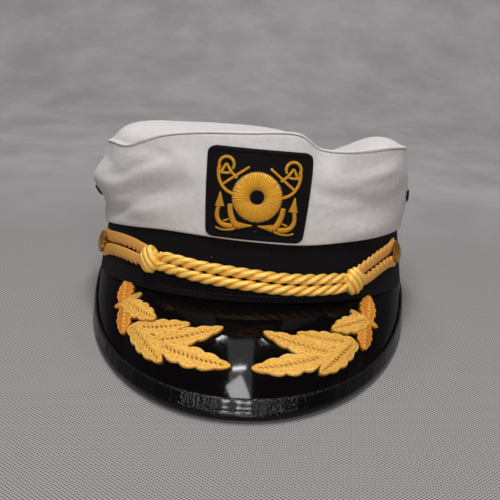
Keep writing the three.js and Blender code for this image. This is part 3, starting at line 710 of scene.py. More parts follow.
@dataclass(frozen=True)
class PatentFinish(Finish):
    """Black patent leather: a thick clear coat with faint ripples and rub marks."""

    name: str = "black patent"

    def dress(self, n: Nodes, shader: bpy.types.Node, place: bpy.types.NodeSocket) -> None:
        """Make a near mirror over black."""
        dust = n.noise(place, 420.0, Detail=4.0, Roughness=0.8)
        n.fill(
            shader, Base_Color=colour(9, 7, 8), Roughness=0.5, Specular_IOR_Level=0.0, Coat_Weight=0.3,
            Coat_IOR=1.4, Coat_Roughness=n.ramp(dust, 0.5, 0.8, 0.06, 0.17),
        )
        n.emboss(shader, (n.noise(place, 35.0, Detail=2.0), 0.25, 0.0008))


@dataclass(frozen=True)
class EdgingFinish(Finish):
    """Black grained leatherette, rubbed along its roll."""

    name: str = "black edging"

    def dress(self, n: Nodes, shader: bpy.types.Node, place: bpy.types.NodeSocket) -> None:
        """Lay a pebbled grain over satin black."""
        grain = n.add("ShaderNodeTexVoronoi", Vector=place, Scale=900.0)
        rub = n.noise(place, 60.0, Detail=4.0)
        tone = n.mix(n.ramp(rub, 0.4, 0.7), colour(5, 4, 6), colour(10, 9, 11))
        n.fill(
            shader, Base_Color=tone, Roughness=0.22, Specular_IOR_Level=0.12, Coat_Weight=0.26,
            Coat_Roughness=0.12,
        )
        n.emboss(shader, (rub, 0.25, 0.0006), (grain.outputs["Distance"], 0.8, 0.0004))


@dataclass(frozen=True)
class StitchFinish(Finish):
    """Black sewing thread."""

    name: str = "black thread"

    def dress(self, n: Nodes, shader: bpy.types.Node, place: bpy.types.NodeSocket) -> None:
        """Make twisted black thread."""
        tone = n.mix(n.noise(place, 2500.0, Detail=2.0), colour(9, 8, 9), colour(30, 26, 28))
        n.fill(shader, Base_Color=tone, Roughness=0.6)


@dataclass(frozen=True)
class ThreadFinish(Finish):
    """Anything made of laid threads across a UV map."""

    count: float = 1.0
    slant: float = 0.0

    def laid(self, n: Nodes) -> object:
        """Lay the threads, and return their height and shade by name."""
        strands = n.add("ShaderNodeUVMap").outputs["UV"]
        return n.add(
            "ShaderNodeGroup", node_tree=Effects.threads(), Vector=strands, Count=self.count,
            Slant=self.slant,
        ).outputs


@dataclass(frozen=True)
class GoldThreadFinish(ThreadFinish):
    """Gold embroidery thread. The attribute satin tells smooth deep-toned leaves from pale grainy ones."""

    name: str = "gold embroidery"
    count: float = 46.0
    pale: tuple[int, int, int] = (255, 214, 100)
    deep: tuple[int, int, int] = (212, 124, 24)
    rich: tuple[int, int, int] = (240, 160, 40)

    def dress(self, n: Nodes, shader: bpy.types.Node, place: bpy.types.NodeSocket) -> None:
        """Lay glinting threads side by side, with painted shade in the vein's pits and under the leaves'
        edges, and painted highlights on the beads and edge cords.
        """
        satin, pit, bead = n.written("satin"), n.written("pit"), n.written("bead")
        thread = self.laid(n)
        grain = n.noise(place, 1300.0, Detail=3.0, Roughness=0.7)
        light = n.mix(n.ramp(grain, 0.35, 0.65), colour(*self.deep), colour(*self.pale))
        dyed = n.mix(n.ramp(thread["Shade"], 0.36, 0.64), colour(*self.deep), colour(*self.rich))
        # Painted shade: dark brown where the vein's holes and the leaves' rims would lie in shade.
        sewn = n.mix(pit, n.mix(satin, light, dyed), colour(70, 32, 6))
        # Painted highlight: pale gold where beads, edge cords and the ring's frayed edges would catch the
        # light.
        sewn = n.mix(bead, sewn, colour(255, 222, 138))
        n.fill(shader, Base_Color=sewn, Metallic=0.3, Roughness=0.45)
        n.emboss(shader, (grain, 0.5, 0.0004), (thread["Height"], 0.55, 0.00035))


@dataclass(frozen=True)
class RopeFinish(ThreadFinish):
    """Gold foil cord of fine parallel threads. The attribute written on its points tells its strands from the
    furrows: the strands get a painted highlight and the furrows painted shade.
    """

    name: str = "gold cord"
    count: float = 222.0
    slant: float = -0.153
    # The painted highlight colour of the crests, then the painted shade colour of the furrows.
    light: tuple[int, int, int] = (255, 214, 106)
    dark: tuple[int, int, int] = (236, 154, 46)
    roughness: float = 0.34

    def dress(self, n: Nodes, shader: bpy.types.Node, place: bpy.types.NodeSocket) -> None:
        """Lay fine bright threads along each strand, with painted highlight on the crests and painted shade
        in the furrows.
        """
        thread = self.laid(n)
        # Painted light: the crests are lightened and the furrows darkened.
        shade = n.math("MULTIPLY_ADD", thread["Shade"], 0.3, n.math("MULTIPLY", n.written("crest"), 0.8))
        tone = n.mix(n.ramp(shade, 0.25, 0.9), colour(*self.dark), colour(*self.light))
        n.fill(shader, Base_Color=tone, Metallic=0.2, Roughness=self.roughness)
        n.emboss(shader, (thread["Height"], 0.35, 0.00025))


@dataclass(frozen=True)
class MetalFinish(Finish):
    """Gilt metal with soft wear."""

    name: str = "gilt metal"
    tint: tuple[int, int, int] = (226, 178, 92)
    roughness: float = 0.26
    metallic: float = 1.0

    def dress(self, n: Nodes, shader: bpy.types.Node, place: bpy.types.NodeSocket) -> None:
        """Vary the polish a little."""
        wear = n.noise(place, 700.0, Detail=4.0)
        red, green, blue = self.tint
        worn = colour(red * 3 // 4, green * 2 // 3, blue // 2)
        tone = n.mix(n.ramp(wear, 0.4, 0.7), colour(*self.tint), worn)
        n.fill(shader, Base_Color=tone, Metallic=self.metallic, Roughness=self.roughness)
        n.emboss(shader, (wear, 0.2, 0.0001))


@dataclass(frozen=True)
class FloorFinish(Finish):
    """Grey netting in front that fades into a clouded grey wall."""

    name: str = "studio grey"

    def dress(self, n: Nodes, shader: bpy.types.Node, place: bpy.types.NodeSocket) -> None:
        """Cross two sets of stripes for the netting, and blend it into soft clouds."""
        askew = n.add("ShaderNodeMapping", Vector=place, Rotation=(0.0, 0.0, 0.75)).outputs["Vector"]
        warp, weft = n.wave(askew, "X", 215.0, Distortion=0.3), n.wave(askew, "Y", 180.0, Distortion=0.3)
        cloud = n.ramp(n.noise(place, 16.0, Detail=5.0, Roughness=0.6), 0.35, 0.65)
        away = n.add("ShaderNodeSeparateXYZ", Vector=place).outputs["Y"]
        netted = n.mix(n.math("MULTIPLY", warp, weft), colour(160, 156, 156), colour(40, 38, 38))
        clouded = n.mix(cloud, colour(150, 147, 149), colour(167, 164, 166))
        tone = n.mix(n.ramp(away, 0.12, 0.3), netted, clouded)
        n.fill(shader, Base_Color=tone, Roughness=0.9, Specular_IOR_Level=0.1)


@dataclass
class Assembly:
    """A sub-assembly of the cap: it builds its pieces, dresses them and reports them."""

    form: CapForm

    def settle(
        self, piece: bpy.types.Object, finish: Finish, slot: Slot, nodes: Sequence[str] = ()
    ) -> bpy.types.Object:
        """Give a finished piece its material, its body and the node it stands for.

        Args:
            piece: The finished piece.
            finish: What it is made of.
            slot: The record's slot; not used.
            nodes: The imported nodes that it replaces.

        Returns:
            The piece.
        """
        piece.data.materials.clear()
        piece.data.materials.append(finish.material())
        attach(piece, "root")
        if nodes:
            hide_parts(*nodes)
        LOG.info("%s: %d faces", piece.name, len(piece.data.polygons))
        return piece

    def carry(self, piece: bpy.types.Object, shape: Shape = lambda x, y, z: Vector((x, y, z))) -> None:
        """Mould a piece by a shape in the cap's own frame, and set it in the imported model's frame."""
        Bench.mould(piece, lambda u, v, w: self.form.set_in_frame(shape(u, v, w)))

    def make(
        self, blank: bpy.types.Object, shape: Shape, smooth: float = 0.0, close: bool = False,
        **marks: Callable[[Vector], float] | float,
    ) -> bpy.types.Object:
        """Turn a unit sheet or slab into a welded piece.

        Args:
            blank: The sheet or slab.
            shape: Where each of its points goes, in the cap's own frame.
            smooth: The edge angle in degrees up to which it is shaded smooth; none if 0.
            close: Whether to fill its open ends.
            **marks: Numbers to write on its points before it is moulded, by name.

        Returns:
            The piece.
        """
        for name, value in marks.items():
            Bench.mark(blank, name, value)
        self.carry(blank, shape)
        Bench.weld(blank, close=close)
        if smooth:
            Bench.smooth(blank, smooth)
        return blank

    def stitches(
        self, name: str, spots: Sequence[tuple[Vector, Vector, Vector]], length: float, width: float
    ) -> bpy.types.Object:
        """Sew a row of small raised stitches.

        Args:
            name: The row's name.
            spots: For each stitch its middle, the way it runs and the way out of the cloth, in
                the cap's own frame.
            length: A stitch's length in millimetres.
            width: Its width in millimetres.

        Returns:
            The joined row.
        """
        Bench.clear()
        bpy.ops.mesh.primitive_cylinder_add(vertices=6, radius=0.5, depth=1.0, end_fill_type="TRIFAN")
        pattern = bpy.context.object
        bpy.ops.object.mode_set(mode="EDIT")
        bpy.ops.mesh.select_all(action="SELECT")
        bpy.ops.mesh.bevel(offset=0.18, segments=1, affect="EDGES")
        bpy.ops.object.mode_set(mode="OBJECT")
        pattern.data.transform(Matrix.Diagonal((width, width * 0.7, length, 1.0)))
        places = []
        for middle, along, out in spots:
            ahead = along.normalized()
            side = out.cross(ahead).normalized()
            turn = Matrix((side, ahead.cross(side), ahead)).transposed().to_4x4()
            places.append(Matrix.Translation(middle) @ turn)
        row = Bench.copies(pattern, places, name)
        self.carry(row)
        Bench.smooth(row, 60)
        return row


@dataclass
class Crown(Assembly):
    """The soft white crown: a wall that hangs over the band, and a sunken, puffed top panel."""

    wall_thickness: float = 1.1
    wall_flat: tuple[float, float] = (0.58, 0.095)
    top_thickness: float = 1.4
    top_flat: tuple[float, float] = (0.18, 0.192)
    top_area: float = 0.0272
    seam_width: float = 3.4
    crumple: float = 0.8
    seed: int = 7
    scattered: int = 70
    wrinkle: float = 0.45
    hem_rows: int = 6
    wall_rows: int = 34
    top: Sequence[Row] = (
        (-1, 0.97), (-0.9, 1.01), (-0.7, 1), (-0.5, 0.985), (-0.15, 0.975), (0.12, 0.955),
        (0.28, 0.915), (0.4, 0.865), (0.52, 0.81), (0.63, 0.86), (0.78, 0.955), (0.9, 0.985),
        (1, 0.95),
    )
    deep_creases: Sequence[Row] = (
        (-46, 0.29, 30, 0.14, 0.0075, -7.4), (-46, 0.57, 30, 0.17, 0.005, 7.6),
        (-84, 0.78, 20, 0.2, 0.0, 3.2), (-78, 0.22, 22, 0.14, 0.0, -1.0),
        (-36, 0.86, 14, 0.12, -0.01, -2.2), (-24, 0.7, 10, 0.2, -0.02, 1.6),
        (38, 0.5, 26, 0.13, -0.004, -4.6), (48, 0.74, 22, 0.13, 0.004, 3.0),
        (66, 0.5, 20, 0.12, 0.008, -1.4), (44, 0.24, 26, 0.12, 0.002, 2.2),
    )

    def __post_init__(self) -> None:
        """Add the small scattered creases to the deep ones."""
        rng = random.Random(self.seed)
        ranges = ((-180, 180), (0.1, 0.9), (8, 20), (0.07, 0.13), (-0.012, 0.012), (-1, 1))
        self.creases = list(self.deep_creases)
        for _ in range(self.scattered):
            self.creases.append(tuple(rng.uniform(low, high) for low, high in ranges))

    def crease(self, angle: float, level: float) -> float:
        """The depth of the small creases at a place on the wall.

        A crease is a middle angle and height, a half width and half height, a slope and a depth.
        """
        depth = 0.0
        for middle, height, spread, reach, slope, share in self.creases:
            beside = turned(angle - middle)
            if abs(beside) < spread:
                depth += share * bell(beside / spread) * bell((level - height - slope * beside) / reach)
        return depth * self.wrinkle

    def wall_path(self, angle: float, share: float) -> Vector:
        """The middle of the wall's cloth, from the hem inside the band up to the seam."""
        form = self.form
        low, high = form.wall_span(angle)
        half = self.wall_thickness / 2
        inner = -form.band_thickness - form.gap - half
        edge = form.band_out(angle, form.band_height)
        over = form.band_height + form.gap + half
        skirt = form.gap + half
        drop = form.band_out(angle, low)
        tuck = [
            (form.band_out(angle, form.hem) + inner, form.hem),
            (edge + inner, form.band_height - 1.0),
            (edge + inner * 0.6, over),
            (edge + skirt * 0.6, over),
            (drop + skirt, low + half + 0.4),
            (drop + skirt + half, low),
        ]
        turn = self.hem_rows / (self.hem_rows + self.wall_rows)
        if share < turn:
            out, up = along_curve(tuck, share / turn * (len(tuck) - 1) / len(tuck))
            return form.place(angle, out, up)
        level = (share - turn) / (1 - turn)
        out = form.wall_out(angle, level) + (form.cloth - self.wall_thickness) / 2
        out += self.crease(angle, level) * math.sin(math.pi * clamp(level)) ** 0.5
        return form.place(angle, out, lerp(low, high, level))

    def top_point(self, u: float, v: float) -> Vector:
        """A point of the top panel from a square sheet's place."""
        form = self.form
        x, y = 2 * u - 1, 2 * v - 1
        across = x * math.sqrt(1 - y * y / 2)
        along = y * math.sqrt(1 - x * x / 2)
        share = math.hypot(across, along)
        angle = math.degrees(math.atan2(across, -along)) if share > 1e-9 else 0.0
        _, high = form.wall_span(angle)
        reach = form.wall_out(angle, 1.0) + form.cloth / 2 + form.welt * 0.4
        rim = form.place(angle, reach, high - form.gap * 0.2 + form.cloth / 2)
        half_width = form.half_width - form.taper_side
        flat = 1 - self.seam_width / half_width
        point = rim * share
        middle = form.crown_height * sample(self.top, point.x / half_width) + form.gap
        shoulder = math.sqrt(1 - min(1.0, share / flat) ** 6)
        crumple = math.sin(point.x * 0.11 + point.y * 0.05) * math.sin(point.y * 0.09 + 1.3)
        point.z = lerp(rim.z, middle + crumple * self.crumple * (1 - share), shoulder)
        return point

    def cloth(self, blank: bpy.types.Object, shape: Shape, thickness: float) -> bpy.types.Object:
        """Shape a sheet of cloth and give it its thickness."""
        piece = self.make(blank, shape)
        Bench.apply(piece, "SOLIDIFY", thickness=thickness * METRES, offset=0.0)
        Bench.apply(piece, "SUBSURF", levels=1, render_levels=1)
        Bench.smooth(piece, 80)
        return piece

    def build(self) -> None:
        """Wrap the wall round the head, and stretch the top panel over its rim."""
        blank = Bench.sheet("crown_wall_cloth", 200, self.hem_rows + self.wall_rows)
        wall = self.cloth(blank, lambda u, v, w: self.wall_path(360 * u - 180, v), self.wall_thickness)
        finish = TwillFinish(name="white twill side", size=self.wall_flat)
        self.settle(wall, finish, Slot.TWILL, ["crown_wall"])
        blank = Bench.sheet("crown_top_cloth", 88, 88)
        top = self.cloth(blank, lambda u, v, w: self.top_point(u, v), self.top_thickness)
        finish = TwillFinish(name="white twill top", size=self.top_flat)
        self.settle(top, finish, Slot.TWILL, ["crown_top"])


@dataclass
class Band(Assembly):
    """The black cloth band with a folded upper edge and a stitched lower one."""

    edge_round: float = 0.7
    stitch_height: float = 3.2
    stitch_pitch: float = 2.9

    def face(self, angle: float, up: float, depth: float) -> Vector:
        """A point of the band, depth below its outer face."""
        form = self.form
        back = form.half_length - form.place(angle, 0, 0).y
        floor = max(0.0, form.floor_press - (back + depth) * math.tan(form.lean))
        height = max(up, floor)
        lump = 0.12 * math.sin(math.radians(angle) * 7 + up * 0.2) * math.sin(up * 0.15)
        return form.place(angle, form.band_out(angle, height) - depth + min(lump, 0.1), height)

    def section(self) -> Sequence[Row]:
        """The band's closed section, as heights and depths."""
        r = self.edge_round
        top, thick = self.form.band_height, self.form.band_thickness
        return [
            (0.0, r * 0.6), (r * 0.4, 0.05), (2.0, 0.0), (2.7, 0.22), (3.4, 0.22), (4.2, 0.0),
            (top * 0.3, 0.0), (top * 0.5, 0.0), (top * 0.75, 0.0), (top - 1.4, 0.0),
            (top - 0.5, 0.12), (top, 0.6), (top, thick - 0.4), (top - 1, thick), (top * 0.6, thick),
            (top * 0.3, thick), (1.0, thick), (0.0, thick - 0.4), (0.0, thick / 2),
        ]

    def build(self) -> None:
        """Wrap the section round the head and sew its edge."""
        form = self.form
        section = self.section()

        def shape(u: float, v: float, w: float) -> Vector:
            return self.face(360 * u - 180, *round_loop(section, v))

        band = self.make(Bench.sheet("band_cloth", 240, 38), shape, smooth=50)
        self.settle(band, ClothFinish(), Slot.CLOTH, ["band"])
        count = int(math.pi * (form.half_width + form.half_length) / self.stitch_pitch)
        spots = []
        for i in range(count):
            angle = 360 * i / count - 180
            middle = self.face(angle, self.stitch_height, 0.12)
            spots.append((middle, form.along(angle), form.outwards(angle)))
        row = self.stitches("band_stitches", spots, 1.9, 0.5)
        self.settle(row, StitchFinish(), Slot.CLOTH)


@dataclass
class Peak(Assembly):
    """The glossy peak with its hidden flange and its rolled, stitched edging."""

    flange: float = 6.0
    flange_share: float = 0.12
    width: float = 9.0
    flap: float = 0.8
    room: float = 0.4
    stitch_inset: float = 7.4
    stitch_pitch: float = 2.6

    def peak_point(self, angle: float, share: float, depth: float) -> Vector:
        """A point of the peak from its flange (share 0) to its edge, depth below its upper face."""
        form = self.form
        turn = self.flange_share
        if share < turn:
            t = share / turn
            inner = -form.band_thickness - form.gap - form.cloth - form.gap
            up = lerp(self.flange, -form.gap - depth, min(1.0, t * 1.6))
            start = inner + form.band_out(angle, self.flange) * (1 - t) - depth
            end = -form.band_thickness / 2 - depth / 2
            return form.place(angle, lerp(start, end, max(0.0, t * 1.6 - 0.6)), up)
        edge = 1 - (form.bead / 2 + form.gap) / form.peak_length(angle)
        down = (share - turn) / (1 - turn) * edge
        sink = form.peak_normal(angle, max(down, 0.03)) * depth
        if down < 0.04:
            sink = sink.lerp(Vector((0, 0, depth)), 1 - down / 0.04)
        return form.peak_face(angle, down) - sink

    def edging_section(self, width: float) -> Sequence[Row]:
        """The edging's closed section: how far in from the rim, and the height over the upper face."""
        form = self.form
        over = self.room + self.flap
        under = -form.peak_thickness - self.room
        middle = -form.peak_thickness / 2
        roll = [
            (-form.bead * math.cos(a) * 0.98, middle + form.bead * math.sin(a) * 1.06)
            for a in (math.radians(k) for k in range(110, -111, -20))
        ]
        return [
            (width, self.room), (width, over * 0.7), (width - 0.4, over), (width * 0.7, over + 0.15),
            (width * 0.4, over + 0.1), (form.bead * 0.9, over + 0.15), *roll,
            (width * 0.4, under - self.flap), (width, under - self.flap), (width, under),
            (form.bead / 2, under), (form.bead / 2, self.room),
        ]

    def edging_point(self, angle: float, inward: float, lift: float) -> Vector:
        """A point near the rim, inward along the peak's face and lifted off it."""
        form = self.form
        down = 1 - max(0.0, inward) / form.peak_length(angle)
        normal = form.peak_normal(angle, min(down, 0.999))
        point = form.peak_face(angle, down)
        if inward < 0:
            back = form.peak_face(angle, 0.9) - form.peak_rim(angle)
            back -= normal * back.dot(normal)
            point += back.normalized() * inward
        return point + normal * lift

    def seam_spots(self) -> list[tuple[Vector, Vector, Vector]]:
        """Where the stitches of the edging's seam go."""
        form = self.form
        spots = []
        angle = -form.peak_end + 2
        lift = self.room + self.flap + 0.1
        step = 0.3
        while angle < form.peak_end - 2:
            length = form.peak_length(angle)
            if length > self.width + 3:
                here = self.edging_point(angle, self.stitch_inset, lift)
                ahead = self.edging_point(angle + step, self.stitch_inset, lift) - here
                spots.append((here, ahead, form.peak_normal(angle, 1 - self.stitch_inset / length)))
                angle += self.stitch_pitch / ahead.length * step
            else:
                angle += 1
        return spots

    def build(self) -> None:
        """Build the peak, its edging and the seam that holds them."""
        form = self.form

        def peak_shape(u: float, v: float, w: float) -> Vector:
            return self.peak_point(lerp(-form.peak_end, form.peak_end, u), v, -w * form.peak_thickness)

        def edging_shape(u: float, v: float, w: float) -> Vector:
            angle = lerp(-form.peak_end, form.peak_end, u)
            width = min(self.width, form.peak_length(angle) - 3 * form.gap - self.flap)
            inward, lift = round_loop(self.edging_section(width), v)
            rumple = 0.1 * math.sin(u * 190) * math.sin(u * 67) * clamp(lift)
            return self.edging_point(angle, inward, lift + rumple)

        peak = self.make(Bench.slab("peak_patent", 150, 60), peak_shape, smooth=40)
        self.settle(peak, PatentFinish(), Slot.PATENT, ["peak"])
        edging = self.make(Bench.sheet("peak_edging", 260, 46), edging_shape, smooth=60, close=True)
        self.settle(edging, EdgingFinish(), Slot.EDGING, ["peak_binding"])
        row = self.stitches("edging_stitches", self.seam_spots(), 1.7, 0.5)
        self.settle(row, StitchFinish(), Slot.EDGING)


class LeafKind(Enum):
    """The embroidered leaves' outlines, by their lobes."""

    OAK = 4
    BUD = 1


@dataclass(frozen=True)
class Leaf:
    """One leaf: its stem end and tip as an angle and a share down the peak, and its width."""

    start: tuple[float, float]
    tip: tuple[float, float]
    width: float
    kind: LeafKind
    satin: float = 0.0
    layer: int = 0
    length: float = 30.0


@dataclass
class OakSpray(Assembly):
    """A spray of embroidered oak leaves on one side of the peak."""

    side: Side = Side.LEFT
    height: float = 1.5
    hole_pitch: float = 2.6
    order_step: float = 0.05
    layer_step: float = 0.55
    leaves: Sequence[Leaf] = (
        Leaf((-38.0, 0.49), (-16.6, 0.3), 11.5, LeafKind.OAK),
        Leaf((-38.5, 0.49), (-23.9, 0.72), 11.5, LeafKind.OAK, layer=1),
        Leaf((-27.5, 0.56), (-2.4, 0.635), 13.5, LeafKind.OAK),
        Leaf((-28, 0.55), (-5.8, 0.3), 12.5, LeafKind.OAK, layer=1),
        Leaf((-43.8, 0.27), (-41.4, 0.63), 10.5, LeafKind.OAK, 1.0, 1),
        Leaf((-44.0, 0.27), (-48.6, 0.4), 4.2, LeafKind.BUD, 0.8, 2),
        Leaf((-44.2, 0.26), (-28.8, 0.34), 11.0, LeafKind.OAK, layer=2),
        Leaf((-43.6, 0.25), (-37.6, 0.09), 5.0, LeafKind.BUD, layer=1),
        Leaf((-44.4, 0.27), (-47.0, 0.0), 10.0, LeafKind.OAK, 1.0, 2),
    )
    right_leaves: Sequence[Leaf] = (
        Leaf((38.0, 0.52), (16.8, 0.33), 11.5, LeafKind.OAK),
        Leaf((38.0, 0.52), (24.2, 0.74), 11.5, LeafKind.OAK, layer=1),
        Leaf((28.0, 0.58), (3.2, 0.645), 13.5, LeafKind.OAK),
        Leaf((28.5, 0.57), (6.2, 0.32), 12.5, LeafKind.OAK, layer=1),
        Leaf((43.4, 0.32), (41.6, 0.65), 10.5, LeafKind.OAK, 1.0, 1),
        Leaf((44.2, 0.32), (49.0, 0.47), 4.2, LeafKind.BUD, 0.8, 2),
        Leaf((44.2, 0.31), (28.8, 0.34), 11.0, LeafKind.OAK, layer=2),
        Leaf((43.2, 0.32), (37.2, 0.15), 5.0, LeafKind.BUD, layer=1),
        Leaf((44.2, 0.33), (46.8, 0.02), 10.0, LeafKind.OAK, 1.0, 2),
    )

    @staticmethod
    def half_width(leaf: Leaf, t: float) -> float:
        """Half the leaf's width at a share of its length, with its rounded lobes."""
        if leaf.kind is LeafKind.BUD:
            return leaf.width / 2 * math.sin(math.pi * clamp(0.08 + 0.92 * t)) ** 0.6
        stem = math.sqrt(max(0.0, 1 - max(0.0, (0.08 - t) / 0.1) ** 2))
        envelope = math.sin(math.pi * clamp(0.16 + 0.84 * t)) ** 0.6 * lerp(0.84, 1.08, bell(t - 0.5))
        lobes = abs(math.sin(math.pi * (leaf.kind.value + 0.6) * (t + 0.02))) ** 0.8
        return leaf.width / 2 * envelope * stem * lerp(0.76, 1.0, lobes)

    def vein(self, leaf: Leaf, t: float, across: float) -> float:
        """How deep in a hole of the middle vein a place is, from 0 to 1."""
        count = max(4, round(leaf.length / self.hole_pitch))
        inside = clamp((t - 0.06) / 0.05) * clamp((0.95 - t) / 0.05)
        width = leaf.width * (0.075 - 0.01 * leaf.satin)
        beside = math.exp(-((across * leaf.width / 2 / width) ** 2))
        slant = across * 2.2 * (1 - leaf.satin)
        dash = 0.5 + 0.5 * math.cos(2 * math.pi * (t * count + slant))
        return inside * beside * dash**2

    def shade(self, leaf: Leaf, t: float, across: float) -> float:
        """How much painted shade a place gets: in the vein's holes and under the leaf's very edge."""
        # Painted shadow under the leaf's very edge.
        under = clamp((abs(across) - 0.95) / 0.05) * 0.75
        return max(self.vein(leaf, t, across) * (1 - leaf.satin), under)

    def glint(self, leaf: Leaf, t: float, across: float) -> float:
        """How much painted highlight a place gets: on the vein's beads and along the edge's cord."""
        # Painted highlight along the raised edge cord.
        cord = math.exp(-(((abs(across) - 0.84) / 0.06) ** 2)) * (0.55 - 0.25 * leaf.satin)
        return max(self.vein(leaf, t, across) * leaf.satin, cord)

    def relief(self, leaf: Leaf, t: float, across: float) -> float:
        """The height of the stitching: a dome with a corded edge and a pitted middle vein."""
        rim = abs(across)
        dome = math.sqrt(max(0.0, 1 - rim**4))
        cord = 0.35 * math.exp(-(((rim - 0.84) / 0.07) ** 2))
        pits = self.vein(leaf, t, across) * (leaf.satin - 0.6)
        ribs = 0.08 * math.sin(2 * math.pi * (t * leaf.length / 1.2 + rim * 3))
        return self.height * (0.75 * dome + (cord + pits + ribs) * dome)

    def sideways(self, leaf: Leaf) -> Row:
        """How far a step of one millimetre across the leaf goes, as an angle and a share down the peak."""
        form = self.form
        middle = [(a + b) / 2 for a, b in zip(leaf.start, leaf.tip)]
        step = 0.01
        here = form.peak_face(*middle)
        per_angle = (form.peak_face(middle[0] + step, middle[1]) - here) / step
        per_down = (form.peak_face(middle[0], middle[1] + step) - here) / step
        axis = per_angle * (leaf.tip[0] - leaf.start[0]) + per_down * (leaf.tip[1] - leaf.start[1])
        side = form.peak_normal(*middle).cross(axis).normalized()
        aa, ab, bb = per_angle.dot(per_angle), per_angle.dot(per_down), per_down.dot(per_down)
        sa, sb = side.dot(per_angle), side.dot(per_down)
        spare = aa * bb - ab * ab
        return (sa * bb - sb * ab) / spare, (sb * aa - sa * ab) / spare

    def build_leaf(self, leaf: Leaf, order: int) -> bpy.types.Object:
        """Mould one leaf from a slab onto the peak's face."""
        form = self.form
        leaf = replace(leaf, length=(form.peak_face(*leaf.tip) - form.peak_face(*leaf.start)).length)
        by_angle, by_down = self.sideways(leaf)

        def shape(u: float, v: float, w: float) -> Vector:
            across = 2 * v - 1
            offset = across * self.half_width(leaf, u)
            angle = lerp(leaf.start[0], leaf.tip[0], u) + by_angle * offset
            down = max(lerp(leaf.start[1], leaf.tip[1], u) + by_down * offset, 0.015)
            lift = form.gap * 0.5 + self.order_step * order
            if w > -0.5:
                lift += self.layer_step * leaf.layer + 0.15 + self.relief(leaf, u, across)
            return form.peak_face(angle, down) + form.peak_normal(angle, down) * lift

        # The leaf's marks paint shade into its vein's holes and under its rim, and highlights onto its beads
        # and edge cord.
        return self.make(
            Bench.slab("leaf", *((110, 36) if leaf.kind is LeafKind.OAK else (30, 16))), shape,
            satin=leaf.satin,
            pit=lambda at: self.shade(leaf, at.x, 2 * at.y - 1),
            bead=lambda at: self.glint(leaf, at.x, 2 * at.y - 1),
        )

    def build(self) -> None:
        """Embroider the spray."""
        leaves = self.leaves if self.side is Side.LEFT else self.right_leaves
        made = [self.build_leaf(leaf, order) for order, leaf in enumerate(leaves)]
        spray = Bench.join(made, "oak_spray_" + self.side.word)
        Bench.smooth(spray, 60)
        self.settle(spray, GoldThreadFinish(), Slot.THREAD, ["leaf_spray_" + self.side.word])


